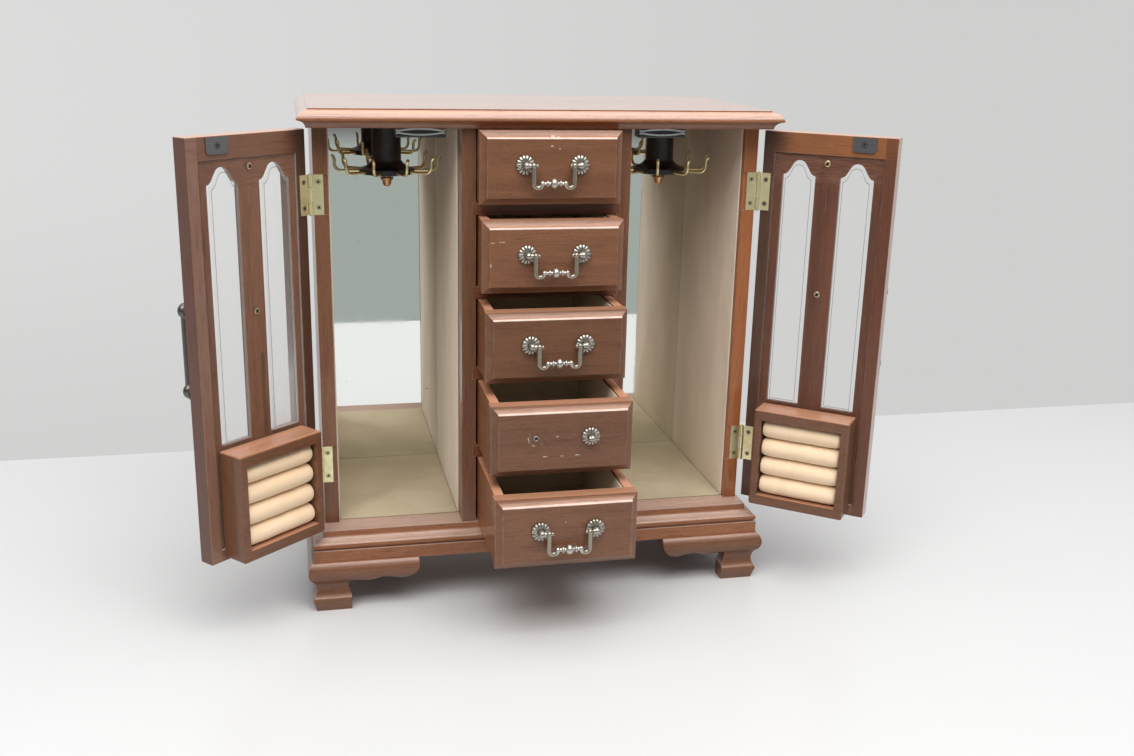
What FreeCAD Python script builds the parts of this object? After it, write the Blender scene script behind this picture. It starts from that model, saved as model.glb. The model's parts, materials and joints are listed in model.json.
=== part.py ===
"""A breakfront jewelry chest: five drawers between two side bays, each bay with a glazed door.

Millimetres. +Z is up, the chest faces -Y, X = 0 is its middle, Z = 0 is the surface it stands on.
The doors and drawers are modelled open, as the chest is shown.
"""
import FreeCAD, Part
import os
import re

import Sketcher

SIZES = {
    # Case: sides, partitions that stand forward of them, back
    "case_width": 320.0,
    "case_depth": 138.0,
    "case_height": 289.0,
    "side_thick": 10.0,
    "partition_thick": 10.0,
    "drawer_opening_width": 100.4,
    "breakfront": 14.0,
    "frame_setback": 13.0,
    "back_thick": 3.5,
    "back_rabbet": 5.0,
    "mirror_thick": 2.0,
    "lining_thick": 1.2,
    "lining_setback": 4.0,
    # Dividers between the drawers
    "rail_height": 8.5,
    "rail_depth": 18.0,
    "tongue": 2.5,
    "dust_board_thick": 3.0,
    # Base and feet
    "foot_height": 38.5,
    "foot_projection": 14.0,
    "foot_width": 25.0,
    "foot_inset": 4.0,
    "bracket_reach": 49.5,
    "bracket_gap": 11.3,
    "base_frame_height": 9.0,
    "base_frame_width": 22.0,
    "base_board_thick": 12.5,
    "base_projection": 9.5,
    # Top
    "top_thick": 12.7,
    "top_projection": 10.0,
    # Drawers
    "drawer_side_gap": 0.5,
    "drawer_lift": 0.4,
    "drawer_head_gap": 0.6,
    "front_thick": 9.8,
    "bevel_depth": 4.5,
    "bevel_width": 5.0,
    "box_wall": 6.0,
    "box_bottom": 3.0,
    "drawer_back_gap": 10.7,
    "box_inset": 1.0,
    "drawer_1_out": 12.5,
    "drawer_2_out": 24.0,
    "drawer_3_out": 41.5,
    "drawer_4_out": 65.0,
    "drawer_5_out": 85.0,
    # Drawer pulls
    "pull_centres": 38.1,
    "pull_rise": 2.5,
    "rosette_dia": 12.0,
    "post_dia": 5.0,
    "post_length": 8.4,
    "eye_dia": 3.8,
    "eye_reach": 2.6,
    "eye_forward": 6.0,
    "eye_clear": 0.3,
    "bail_wire": 2.4,
    "bail_fit": 0.05,
    "bail_pin": 2.6,
    "bail_pin_gap": 0.2,
    "bail_arm_dia": 3.3,
    "bail_elbow_dia": 4.0,
    "bail_stud_dia": 2.6,
    "bail_stud_reach": 2.3,
    "bail_drop": 12.0,
    "bail_curl": 2.9,
    "bail_bead_dia": 7.0,
    # Doors
    "door_free_gap": 2.8,
    "door_foot_gap": 1.5,
    "door_head_gap": 2.0,
    "door_thick": 12.0,
    "door_edge_round": 0.8,
    "left_door_angle": 138.5,
    "right_door_angle": 141.0,
    "door_stile": 8.5,
    "door_top_rail": 15.0,
    "door_bottom_rail": 8.5,
    "rabbet_ledge": 4.0,
    "fret_thick": 3.0,
    "fret_play": 0.2,
    "fret_margin": 6.7,
    "muntin_width": 18.0,
    "pane_sill": 81.5,
    "pane_head": 20.0,
    "pane_arch": 10.9,
    "sheet_thick": 1.6,
    # Ring box on each door
    "ring_box_hinge_margin": 12.5,
    "ring_box_free_margin": 11.5,
    "ring_box_sill": 2.5,
    "ring_box_height": 76.5,
    "ring_box_back": 3.0,
    "ring_box_side": 6.0,
    "ring_box_rail": 8.0,
    "ring_box_round": 1.6,
    "roll_play": 0.4,
    "roll_end_dome": 3.5,
    "roll_setback": 1.4,
    "roll_back_gap": 0.875,
    # Strikes, catches and bow pulls of the doors
    "strike_length": 17.0,
    "strike_height": 10.5,
    "strike_thick": 1.0,
    "strike_round": 2.5,
    "strike_margin": 15.0,
    "strike_drop": 0.9,
    "catch_length": 35.0,
    "catch_depth": 12.0,
    "catch_height": 8.0,
    "catch_gap": 0.4,
    "catch_round": 1.2,
    "bow_centres": 54.5,
    "bow_margin": 6.6,
    "bow_rise": 3.2,
    "bow_stand": 9.2,
    "bow_wire": 4.2,
    "bow_bend": 4.2,
    "bow_end_dia": 12.0,
    "bow_end_length": 11.4,
    # Hinges
    "hinge_height": 27.5,
    "hinge_inset": 44.5,
    "leaf_width": 6.8,
    "leaf_thick": 1.0,
    "leaf_clear": 0.2,
    "knuckle_dia": 3.5,
    "knuckle_gap": 0.35,
    "knuckle_length": 8.3,
    "knuckle_end_gap": 0.2,
    "pin_dia": 1.7,
    "pin_fit": 0.05,
    "pin_end": 0.7,
    # Necklace carousels
    "hub_gap": 0.4,
    "hub_dia": 21.5,
    "hub_height": 30.0,
    "hub_flare": 6.0,
    "disc_dia": 40.6,
    "disc_rim": 3.6,
    "hub_tail": 2.5,
    "hub_tail_dia": 12.0,
    "carousel_post_dia": 6.0,
    "post_fit": 0.06,
    "finial_dia": 8.8,
    "finial_height": 7.4,
    "finial_gap": 0.3,
    "hook_wire": 2.2,
    "hook_fit": 0.03,
    "hook_seat": 5.0,
    "hook_end_gap": 0.1,
    "hook_wall_gap": 3.7,
    "hook_flare": 2.0,
    "hook_bend": 5.0,
    "hook_straight": 3.0,
    "hook_tip": 3.5,
    # How far every cut runs past the face it opens
    "overrun": 2.0,
}

DRAWERS = 5
DRAWERS_WITHOUT_BAIL = ("drawer_4",)
HOOKS = 10
RING_ROLLS = 4
FULL_TURN = 360

# Edges and outlines below are rows of: share along, share up, bulge of the arc to the next point.
# A bulge is twice the arc's rise over its chord: positive swells, negative hollows, 0 is straight.
QUARTER_SHARE = 0.41421356
TOP_EDGE_SHARES = [
    (0.40, 0.00, -0.35),
    (0.90, 0.40, 0),
    (1.00, 0.43, 0),
    (1.00, 0.50, 0.34),
    (0.30, 0.91, 0),
    (0.26, 0.93, 0),
    (0.26, 1.00, 0),
]
BASE_EDGE_SHARES = [
    (0.78, 0.00, 0),
    (0.78, 0.07, 0.75),
    (0.80, 0.45, 0),
    (0.68, 0.47, -0.40),
    (0.21, 0.84, 0),
    (0.21, 1.00, 0),
]
FOOT_EDGE_SHARES = [
    (0.593, 0.000, 0),
    (0.750, 0.190, 0.30),
    (0.735, 0.275, -0.40),
    (0.800, 0.636, 0.41),
    (0.786, 1.000, 0),
]
# Lower edge of a bracket, from the end of the bracket to the pad of the foot.
BRACKET_SHARES = [
    (0.00, 1.00, 0),
    (0.00, 0.86, 0.36),
    (0.27, 0.59, -0.10),
    (0.55, 0.68, 0.22),
    (0.86, 0.61, -0.12),
    (1.03, 0.63, -0.20),
    (1.00, 0.31, 0),
    (1.00, 0.00, 0),
]
# Drawer front from its edge to its raised field: shares of the bevel's width and depth.
BEVEL_SHARES = [(0.00, 0.00, -0.12), (0.88, 0.70, 0), (0.90, 0.86, 0.40), (1.00, 1.00, 0)]
# Head of a light: hollow shoulders that run smoothly into a round crown.
ARCH_SHOULDER_SHARES = (0.43, 0.585)
ARCH_SHOULDER_BULGE_SHARE = -0.356
ARCH_CROWN_BULGE_SHARE = 0.866
# Rosette from the post to the rim: shares of the rosette's radius and of the post's length.
ROSETTE_SHARES = [(0.42, 0.30, 0), (0.52, 0.26, 0.20), (1.00, 0.10, 0), (1.00, 0.00, 0)]
POST_HEAD_SHARE = 0.72
POST_HEAD_BULGE_SHARE = 0.36
# Turned end of a bow pull from its tip to its foot: shares of its radius and of its length.
BOW_END_SHARES = [
    (0.00, 1.00, 0.28),
    (0.70, 0.87, 0.34),
    (0.84, 0.62, 0.24),
    (0.46, 0.40, -0.20),
    (0.60, 0.22, 0.16),
    (1.00, 0.10, 0),
    (1.00, 0.00, 0),
]
# Turned bar of a bail from its end to its bead: shares of the half length and of the bead's radius.
BAR_SHARES = [
    (1.20, 0.00, 0.41),
    (1.00, 0.52, 0.41),
    (0.82, 0.34, 0),
    (0.62, 0.34, 0),
    (0.62, 0.55, 0.50),
    (0.46, 0.55, 0),
    (0.46, 0.34, 0),
    (0.30, 0.38, 0.85),
]
# Finial from its tip to its shoulder: shares of its radius and of its height.
FINIAL_SHARES = [(0.00, 0.00, 0.40), (0.72, 0.44, 0), (0.82, 0.66, 0), (1.00, 0.72, 0.30), (1.00, 1.00, 0)]
HUB_FLARE_BULGE_SHARE = -0.22
ROLL_END_BULGE_SHARE = 0.24
ROLL_FLAT_SHARE = 0.45

# Levels and planes that several pieces share.
HALF = "(case_width / 2)"
SIDE_INNER = f"({HALF} - side_thick)"
OPENING_HALF = "(drawer_opening_width / 2)"
PARTITION_OUTER = f"({OPENING_HALF} + partition_thick)"
FRONT = "(-frame_setback)"
CENTRE_FRONT = "(-frame_setback - breakfront)"
BACK = "(case_depth - frame_setback)"
BACK_INNER = f"({BACK} - back_thick)"
MIRROR_FRONT = f"({BACK_INNER} - mirror_thick)"
FRAME_TOP = "(foot_height + base_frame_height)"
BASE_TOP = f"({FRAME_TOP} + base_board_thick)"
CASE_TOP = f"({BASE_TOP} + case_height)"
CASE_LEVELS = (BASE_TOP, CASE_TOP)
OPENING_HEIGHT = f"((case_height - {DRAWERS - 1} * rail_height) / {DRAWERS})"
DRAWER_PITCH = f"({OPENING_HEIGHT} + rail_height)"
FRONT_HEIGHT = f"({OPENING_HEIGHT} - drawer_lift - drawer_head_gap)"
FRONT_HALF = f"({OPENING_HALF} - drawer_side_gap)"
FIELD = "(front_thick + bevel_depth)"
BOX_LENGTH = f"({BACK_INNER} - {CENTRE_FRONT} - front_thick - drawer_back_gap)"
FLANK_LENGTH = f"({BACK} - {CENTRE_FRONT} + {FOOT_EDGE_SHARES[0][0]} * foot_projection)"
FLANK_REACH = f"(({FLANK_LENGTH} - 2 * foot_width - bracket_gap) / 2)"
BAY_MIDDLE = f"(({SIDE_INNER} + {PARTITION_OUTER}) / 2)"
BAY_HALF = f"(({SIDE_INNER} - {PARTITION_OUTER}) / 2 - lining_thick)"

# Door planes, measured from the hinge axis: along the door to its free edge, and through it.
AXIS_OUT = "(knuckle_dia / 2 + knuckle_gap)"
AXIS_Y = f"({FRONT} - leaf_clear / 2)"
DOOR_WIDTH = f"({HALF} - {PARTITION_OUTER} - door_free_gap)"
DOOR_FREE = f"({AXIS_OUT} + {DOOR_WIDTH})"
DOOR_MIDDLE = f"({AXIS_OUT} + {DOOR_WIDTH} / 2)"
DOOR_INNER = "(-leaf_thick - leaf_clear / 2)"
DOOR_OUTER = f"({DOOR_INNER} - door_thick)"
DOOR_FOOT = f"({BASE_TOP} + door_foot_gap)"
DOOR_HEAD = f"({CASE_TOP} - door_head_gap)"
LIGHT_HALF = f"(({DOOR_WIDTH} - 2 * door_stile - 2 * fret_margin - muntin_width) / 4)"
LIGHT_MIDDLE = f"(muntin_width / 2 + {LIGHT_HALF})"
ROLL_PITCH = f"((ring_box_height - 2 * ring_box_rail) / {RING_ROLLS})"
ROLL_RADIUS = f"({ROLL_PITCH} / 2 - roll_play / 2)"
RING_BOX_DEPTH = f"(ring_box_back + roll_back_gap + 2 * {ROLL_RADIUS} + roll_setback)"
HINGE_LEVELS = {"upper": f"({DOOR_HEAD} - hinge_inset)", "lower": f"({DOOR_FOOT} + hinge_inset)"}
SIDES = {"left": -1, "right": 1}

doc = FreeCAD.newDocument("jewelry_chest")
dims = doc.addObject("Spreadsheet::Sheet", "dims")
for row, (size_name, size) in enumerate(SIZES.items(), 1):
    dims.set(f"A{row}", size_name)
    dims.set(f"B{row}", str(size))
    dims.setAlias(f"B{row}", size_name)
doc.recompute()

WORD = re.compile(r"[A-Za-z_]\w*")
NODES = []


def bound(text):
    """The expression with each size's name turned into its cell of the sheet."""
    return WORD.sub(lambda word: "dims." + word.group() if word.group() in SIZES else word.group(), text)


def number(text):
    """The value of an expression in the sheet's sizes."""
    return float(dims.evalExpression(text))


def bind(thing, prop, text):
    """Ties one property of an object to an expression in the sheet's sizes."""
    thing.setExpression(prop, bound(text))


def place(piece, x="0", y="0", z="0", turn=None):
    """Moves a piece, and turns it about Z, by expressions."""
    for axis, text in (("x", x), ("y", y), ("z", z)):
        bind(piece, f"Placement.Base.{axis}", text)
    if turn:
        bind(piece, "Placement.Rotation.Angle", turn)
    return piece


def node(piece, name):
    """Marks a piece as one sub-part of the chest."""
    piece.Label = name
    NODES.append(piece)
    return piece


def toward(side, low, high):
    """A pair of X planes on the right of the chest, or the same pair mirrored to its left."""
    return (low, high) if side > 0 else (f"-({high})", f"-({low})")


def block(name, x, y, z):
    """A square-edged board between low and high planes on each axis."""
    box = doc.addObject("Part::Box", name)
    for prop, axis, (low, high) in (("Length", "x", x), ("Width", "y", y), ("Height", "z", z)):
        bind(box, prop, f"({high}) - ({low})")
        bind(box, f"Placement.Base.{axis}", low)
    return box


def rod(name, radius, low, high, x="0", y="0"):
    """An upright round rod between two levels."""
    piece = doc.addObject("Part::Cylinder", name)
    bind(piece, "Radius", radius)
    bind(piece, "Height", f"({high}) - ({low})")
    return place(piece, x, y, low)


def group(name, pieces):
    """Separate solids that share one sub-part."""
    piece = doc.addObject("Part::Compound", name)
    piece.Links = pieces
    return piece


def fuse(name, pieces):
    """Several solids joined into one."""
    piece = doc.addObject("Part::MultiFuse", name)
    piece.Shapes = pieces
    piece.Refine = True
    return piece


def common(name, pieces):
    """The space that several solids share."""
    piece = doc.addObject("Part::MultiCommon", name)
    piece.Shapes = pieces
    return piece


def cut(name, base, tools):
    """A solid less one or more tools."""
    piece = doc.addObject("Part::Cut", name)
    piece.Base = base
    piece.Tool = tools[0] if len(tools) == 1 else group(name + "_tools", tools)
    return piece


def mirrored(points):
    """An outline or an edge mirrored left to right, still anticlockwise."""
    rows = reversed(list(enumerate(points)))
    return [(f"-({x})", y, points[i - 1][2] if i else 0) for i, (x, y, _) in rows]


def flipped(points):
    """An outline or an edge mirrored top to bottom, still anticlockwise."""
    rows = reversed(list(enumerate(points)))
    return [(x, f"-({y})", points[i - 1][2] if i else 0) for i, (x, y, _) in rows]


def trace(sketch, points, is_closed=True):
    """Draws a run of lines and arcs, with every corner and radius bound to its expression."""
    count = len(points)
    spots = [FreeCAD.Vector(number(x), number(y), 0) for x, y, _ in points]
    ends = []
    for i in range(count if is_closed else count - 1):
        start = spots[i]
        stop = spots[(i + 1) % count]
        bulge = points[i][2]
        if bulge:
            chord = stop - start
            rise = FreeCAD.Vector(chord.y, -chord.x, 0) * (bulge / 2)
            sketch.addGeometry(Part.Arc(start, (start + stop) / 2 + rise, stop), False)
            first = sketch.getPoint(i, 1)
            ends.append((1, 2) if first.distanceToPoint(start) < first.distanceToPoint(stop) else (2, 1))
        else:
            sketch.addGeometry(Part.LineSegment(start, stop), False)
            ends.append((1, 2))
    lines = len(ends)
    for i in range(lines if is_closed else lines - 1):
        after = (i + 1) % lines
        sketch.addConstraint(Sketcher.Constraint("Coincident", i, ends[i][1], after, ends[after][0]))
    for i, (x, y, bulge) in enumerate(points):
        line, corner = (i, ends[i][0]) if i < lines else (lines - 1, ends[-1][1])
        for kind, text, at in (("DistanceX", x, spots[i].x), ("DistanceY", y, spots[i].y)):
            index = sketch.addConstraint(Sketcher.Constraint(kind, -1, 1, line, corner, at))
            bind(sketch, f"Constraints[{index}]", text)
        if bulge and i < lines:
            far_x, far_y, _ = points[(i + 1) % count]
            chord_text = f"sqrt((({far_x}) - ({x}))^2 + (({far_y}) - ({y}))^2)"
            radius = f"{chord_text} * {(1 + bulge * bulge) / (4 * abs(bulge))}"
            index = sketch.addConstraint(Sketcher.Constraint("Radius", i, number(radius)))
            bind(sketch, f"Constraints[{index}]", radius)


def trace_circle(sketch, radius, x="0", y="0"):
    """Draws a circle with its centre and radius bound to expressions."""
    centre = FreeCAD.Vector(number(x), number(y), 0)
    sketch.addGeometry(Part.Circle(centre, FreeCAD.Vector(0, 0, 1), number(radius)), False)
    for kind, text in (("DistanceX", x), ("DistanceY", y)):
        index = sketch.addConstraint(Sketcher.Constraint(kind, -1, 1, 0, 3, number(text)))
        bind(sketch, f"Constraints[{index}]", text)
    index = sketch.addConstraint(Sketcher.Constraint("Radius", 0, number(radius)))
    bind(sketch, f"Constraints[{index}]", radius)


def new_body(name):
    """An empty body."""
    return doc.addObject("PartDesign::Body", name)


def origin_part(body, role):
    """One plane or axis of a body's own origin."""
    return [feature for feature in body.Origin.OriginFeatures if feature.Role == role][0]


def new_sketch(body, name, plane, offset="0", rise="0"):
    """An empty sketch of a body, a set distance in front of one of its planes and up along it."""
    sketch = body.newObject("Sketcher::SketchObject", name)
    sketch.AttachmentSupport = (origin_part(body, plane + "_Plane"), [""])
    sketch.MapMode = "FlatFace"
    bind(sketch, "AttachmentOffset.Base.z", offset)
    bind(sketch, "AttachmentOffset.Base.y", rise)
    return sketch


def prism(name, plane, points, low, high):
    """A body padded from an outline on XY, XZ or YZ, between two planes square to it."""
    body = new_body(name)
    sketch = new_sketch(body, name + "_outline", plane, f"-({high})" if plane == "XZ" else low)
    trace(sketch, points)
    pad = body.newObject("PartDesign::Pad", name + "_pad")
    pad.Profile = sketch
    bind(pad, "Length", f"({high}) - ({low})")
    return body


def revolved(name, plane, points, axis="V_Axis"):
    """A turned body: a half outline on one plane, spun about the sketch's upright or level axis."""
    body = new_body(name)
    sketch = new_sketch(body, name + "_half", plane)
    trace(sketch, points)
    spin = body.newObject("PartDesign::Revolution", name + "_turned")
    spin.Profile = sketch
    spin.ReferenceAxis = (sketch, [axis])
    spin.Angle = FULL_TURN
    return body


def swept(body, name, plane, path, section_plane, section_offset, radius, x="0", y="0"):
    """A round wire along a path of lines and arcs, added to a body."""
    spine = new_sketch(body, name + "_path", plane)
    trace(spine, path, is_closed=False)
    section = new_sketch(body, name + "_section", section_plane, section_offset)
    trace_circle(section, radius, x, y)
    pipe = body.newObject("PartDesign::AdditivePipe", name)
    pipe.Profile = section
    pipe.Spine = (spine, [f"Edge{i}" for i in range(1, len(path))])
    return pipe


def ringed(body, feature, name, count):
    """Repeats a feature evenly about the body's upright axis."""
    pattern = body.newObject("PartDesign::PolarPattern", name)
    pattern.Originals = [feature]
    pattern.Axis = (origin_part(body, "Z_Axis"), [""])
    pattern.Angle = FULL_TURN
    pattern.Occurrences = count
    body.Tip = pattern


def eased(body, radius, is_eased):
    """Rounds the edges of a body that the test picks."""
    doc.recompute()
    tip = body.Tip
    names = [f"Edge{i}" for i, edge in enumerate(tip.Shape.Edges, 1) if is_eased(edge)]
    fillet = body.newObject("PartDesign::Fillet", body.Name + "_eased")
    fillet.Base = (tip, names)
    bind(fillet, "Radius", radius)
    body.Tip = fillet
    return body


def rectangle(x, y):
    """The anticlockwise corners of a rectangle."""
    (left, right), (low, high) = x, y
    return [(left, low, 0), (right, low, 0), (right, high, 0), (left, high, 0)]


def moulded_edge(shares, start, out, floor, height):
    """A moulded edge that faces the sketch's +x, from its foot to its head."""
    return [(f"{start} + {o} * {out}", f"{floor} + {u} * {height}", bulge) for o, u, bulge in shares]


def moulded_board(name, shares, out, floor, height):
    """A board moulded at its front and both ends, square at the back, mitred at the corners."""
    end = moulded_edge(shares, HALF, out, floor, height)
    front = moulded_edge(shares, f"-{CENTRE_FRONT}", out, floor, height)
    across = end + mirrored(end)
    along = [(BACK, floor, 0), (BACK, f"{floor} + {height}", 0)] + mirrored(front)
    reach = f"({HALF} + {out} + overrun)"
    pieces = [
        prism(name + "_across", "XZ", across, f"{CENTRE_FRONT} - {out} - overrun", f"{BACK} + overrun"),
        prism(name + "_along", "YZ", along, f"-{reach}", reach),
    ]
    node(common(name, pieces), name)


def build_base_frame():
    """The frame with a flat fascia between the base board and the feet."""
    half = f"({HALF} + base_projection)"
    front = f"({CENTRE_FRONT} - base_projection)"
    hole_half = f"({half} - base_frame_width)"
    outer = block("fascia", (f"-{half}", half), (front, BACK), ("foot_height", FRAME_TOP))
    hole = block(
        "fascia_hole",
        (f"-{hole_half}", hole_half),
        (f"{front} + base_frame_width", f"{BACK} - base_frame_width"),
        ("foot_height - overrun", f"{FRAME_TOP} + overrun"),
    )
    node(cut("base_frame", outer, [hole]), "base_frame")


def foot_outline(edge, reach):
    """A foot seen square on, its outer edge towards +x: bracket, neck, pad, outer edge."""
    pad_inner = f"({edge[0][0]} - foot_width)"
    lower = [
        (f"{pad_inner} - ({1 - along}) * {reach}", f"{up} * foot_height", bulge)
        for along, up, bulge in BRACKET_SHARES
    ]
    return lower + edge


def foot_section(inner, edge):
    """A bracket cut through: moulded outside, flat inside."""
    return [(inner, "0", 0)] + edge + [(inner, "foot_height", 0)]


def build_foot(name, side, is_back):
    """One ogee bracket foot: a wing along the front or the back, and a wing along the side."""
    past = "(foot_projection + overrun)"
    far = "(foot_width + bracket_reach + overrun)"
    flank_far = f"(foot_width + {FLANK_REACH} + overrun)"
    side_edge = moulded_edge(FOOT_EDGE_SHARES, HALF, "foot_projection", "0", "foot_height")
    face = foot_outline(side_edge, "bracket_reach")
    band = foot_section(f"{HALF} - foot_inset", side_edge)
    if side < 0:
        face = mirrored(face)
        band = mirrored(band)
    if is_back:
        wing = prism(name + "_back_wing", "XZ", face, f"{BACK} - 2 * foot_inset", BACK)
        flank = foot_outline([(BACK, "0", 0), (BACK, "foot_height", 0)], FLANK_REACH)
        flank_y = (f"{BACK} - {flank_far}", BACK)
    else:
        start = f"-{CENTRE_FRONT}"
        front_edge = moulded_edge(FOOT_EDGE_SHARES, start, "foot_projection", "0", "foot_height")
        front_band = mirrored(foot_section(f"{start} - foot_inset", front_edge))
        pieces = [
            prism(name + "_face", "XZ", face, f"{CENTRE_FRONT} - {past}", f"{CENTRE_FRONT} + foot_inset"),
            prism(name + "_band", "YZ", front_band, *toward(side, f"{HALF} - {far}", f"{HALF} + {past}")),
        ]
        wing = common(name + "_front_wing", pieces)
        flank = mirrored(foot_outline(front_edge, FLANK_REACH))
        flank_y = (f"{CENTRE_FRONT} - {past}", f"{CENTRE_FRONT} + {flank_far}")
    flank_x = toward(side, f"{HALF} - foot_inset", f"{HALF} + {past}")
    pieces = [
        prism(name + "_flank", "YZ", flank, *flank_x),
        prism(name + "_flank_band", "XZ", band, *flank_y),
    ]
    node(fuse(name, [wing, common(name + "_side_wing", pieces)]), name)


def divider_levels(i):
    """Bottom and top of the divider over opening i, counted up from the base."""
    low = f"({BASE_TOP} + {i} * {OPENING_HEIGHT} + {i - 1} * rail_height)"
    return low, f"({low} + rail_height)"


def build_side(name, side):
    """A side board, rabbeted for the back and mortised right across for its two hinges."""
    board = block(name + "_side_board", toward(side, SIDE_INNER, HALF), (FRONT, BACK), CASE_LEVELS)
    tools = [
        block(
            name + "_rabbet",
            toward(side, f"{SIDE_INNER} - overrun", f"{SIDE_INNER} + back_rabbet"),
            (BACK_INNER, f"{BACK} + overrun"),
            (f"{BASE_TOP} - overrun", f"{CASE_TOP} + overrun"),
        )
    ]
    for end, level in HINGE_LEVELS.items():
        tools.append(
            block(
                f"{name}_{end}_mortise",
                toward(side, f"{SIDE_INNER} - overrun", f"{HALF} + overrun"),
                (f"{FRONT} - overrun", f"{FRONT} + leaf_thick"),
                (f"{level} - hinge_height / 2", f"{level} + hinge_height / 2"),
            )
        )
    node(cut(name + "_side", board, tools), name + "_side")


def build_partition(name, side):
    """A partition with housings for the four dividers."""
    rail_back = f"{CENTRE_FRONT} + rail_depth"
    board_x = toward(side, OPENING_HALF, PARTITION_OUTER)
    board = block(name + "_partition_board", board_x, (CENTRE_FRONT, BACK_INNER), CASE_LEVELS)
    tool_x = toward(side, f"{OPENING_HALF} - overrun", f"{OPENING_HALF} + tongue")
    tools = []
    for i in range(1, DRAWERS):
        low, high = divider_levels(i)
        thin = (f"{high} - dust_board_thick", high)
        rail_y = (f"{CENTRE_FRONT} - overrun", rail_back)
        tools.append(block(f"{name}_rail_housing_{i}", tool_x, rail_y, (low, high)))
        tools.append(block(f"{name}_board_housing_{i}", tool_x, (rail_back, f"{BACK_INNER} + overrun"), thin))
    node(cut(name + "_partition", board, tools), name + "_partition")


def build_bays():
    """Back panel, and the mirror and velvet linings of both bays."""
    back_half = f"({SIDE_INNER} + back_rabbet)"
    node(block("back_panel", (f"-{back_half}", back_half), (BACK_INNER, BACK), CASE_LEVELS), "back_panel")
    depth = (f"{FRONT} + lining_setback", MIRROR_FRONT)
    linings = []
    mirrors = []
    for name, side in SIDES.items():
        outer = toward(side, f"{SIDE_INNER} - lining_thick", SIDE_INNER)
        inner = toward(side, PARTITION_OUTER, f"{PARTITION_OUTER} + lining_thick")
        floor = toward(side, f"{PARTITION_OUTER} + lining_thick", f"{SIDE_INNER} - lining_thick")
        bay = toward(side, PARTITION_OUTER, SIDE_INNER)
        linings.append(block(name + "_outer_lining", outer, depth, CASE_LEVELS))
        linings.append(block(name + "_inner_lining", inner, depth, CASE_LEVELS))
        linings.append(block(name + "_floor_lining", floor, depth, (BASE_TOP, f"{BASE_TOP} + lining_thick")))
        mirrors.append(block(name + "_mirror", bay, (MIRROR_FRONT, BACK_INNER), CASE_LEVELS))
    node(group("bay_linings", linings), "bay_linings")
    node(group("mirrors", mirrors), "mirrors")


def build_dividers():
    """Front rails with dust boards, tongued into the partitions."""
    half = f"({OPENING_HALF} + tongue)"
    rail_back = f"{CENTRE_FRONT} + rail_depth"
    dividers = []
    for i in range(1, DRAWERS):
        low, high = divider_levels(i)
        thin = (f"{high} - dust_board_thick", high)
        rail = block(f"rail_{i}", (f"-{half}", half), (CENTRE_FRONT, rail_back), (low, high))
        dust_board = block(f"dust_board_{i}", (f"-{half}", half), (rail_back, BACK_INNER), thin)
        dividers.append(fuse(f"divider_{i}", [rail, dust_board]))
    node(group("drawer_dividers", dividers), "drawer_dividers")


def drawer_front(name):
    """A drawer front with its back on Y = 0 and its foot on Z = 0, bevelled along all four edges."""
    half_height = f"({FRONT_HEIGHT} / 2)"
    left = [
        (f"-{FRONT_HALF} + {o} * bevel_width", f"-(front_thick + {u} * bevel_depth)", bulge)
        for o, u, bulge in BEVEL_SHARES
    ]
    upper = [
        (f"-(front_thick + {u} * bevel_depth)", f"{half_height} - {o} * bevel_width", bulge)
        for o, u, bulge in BEVEL_SHARES
    ]
    plan = [(FRONT_HALF, "0", 0), (f"-{FRONT_HALF}", "0", 0)] + left + mirrored(left)
    profile = [("0", f"-{half_height}", 0), ("0", half_height, 0)] + upper + flipped(upper)
    reach = f"({FRONT_HALF} + overrun)"
    pieces = [
        prism(name + "_plan", "XY", plan, "0", FRONT_HEIGHT),
        place(prism(name + "_profile", "YZ", profile, f"-{reach}", reach), z=half_height),
    ]
    return common(name, pieces)


def drawer_box(name):
    """The sides, back and bottom of a drawer, open to its front."""
    half = f"({FRONT_HALF} - box_inset)"
    inner = f"({half} - box_wall)"
    outer = block(name + "_outside", (f"-{half}", half), ("0", BOX_LENGTH), ("0", FRONT_HEIGHT))
    hollow = block(
        name + "_inside",
        (f"-{inner}", inner),
        ("-overrun", f"{BOX_LENGTH} - box_wall"),
        ("box_bottom", f"{FRONT_HEIGHT} + overrun"),
    )
    return cut(name, outer, [hollow])


def button(name):
    """A domed rosette with a round-headed post, its back on Y = 0."""
    half = [
        ("0", "0", 0),
        ("0", "-post_length", POST_HEAD_BULGE_SHARE),
        ("post_dia / 2", f"-{POST_HEAD_SHARE} * post_length", 0),
    ]
    half += [(f"{o} * rosette_dia / 2", f"-{u} * post_length", bulge) for o, u, bulge in ROSETTE_SHARES]
    return revolved(name, "XY", half)


def rosette(name, side):
    """A rosette whose post has an eye towards the middle of the pull, bored for the bail."""
    eye = doc.addObject("Part::Cylinder", name + "_eye")
    bind(eye, "Radius", "eye_dia / 2")
    bind(eye, "Height", "eye_reach")
    bore = doc.addObject("Part::Cylinder", name + "_bore")
    bind(bore, "Radius", "bail_wire / 2 + bail_fit")
    bind(bore, "Height", "bail_pin + overrun")
    for piece, start in ((eye, "0"), (bore, "(eye_reach - bail_pin)")):
        piece.Placement.Rotation = FreeCAD.Rotation(FreeCAD.Vector(0, 1, 0), -side * FULL_TURN / 4)
        bind(piece, "Placement.Base.x", f"{-side} * {start}")
        bind(piece, "Placement.Base.y", "-eye_forward")
    whole = cut(name, fuse(name + "_solid", [button(name + "_button"), eye]), [bore])
    return place(whole, f"{side} * pull_centres / 2")


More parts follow.
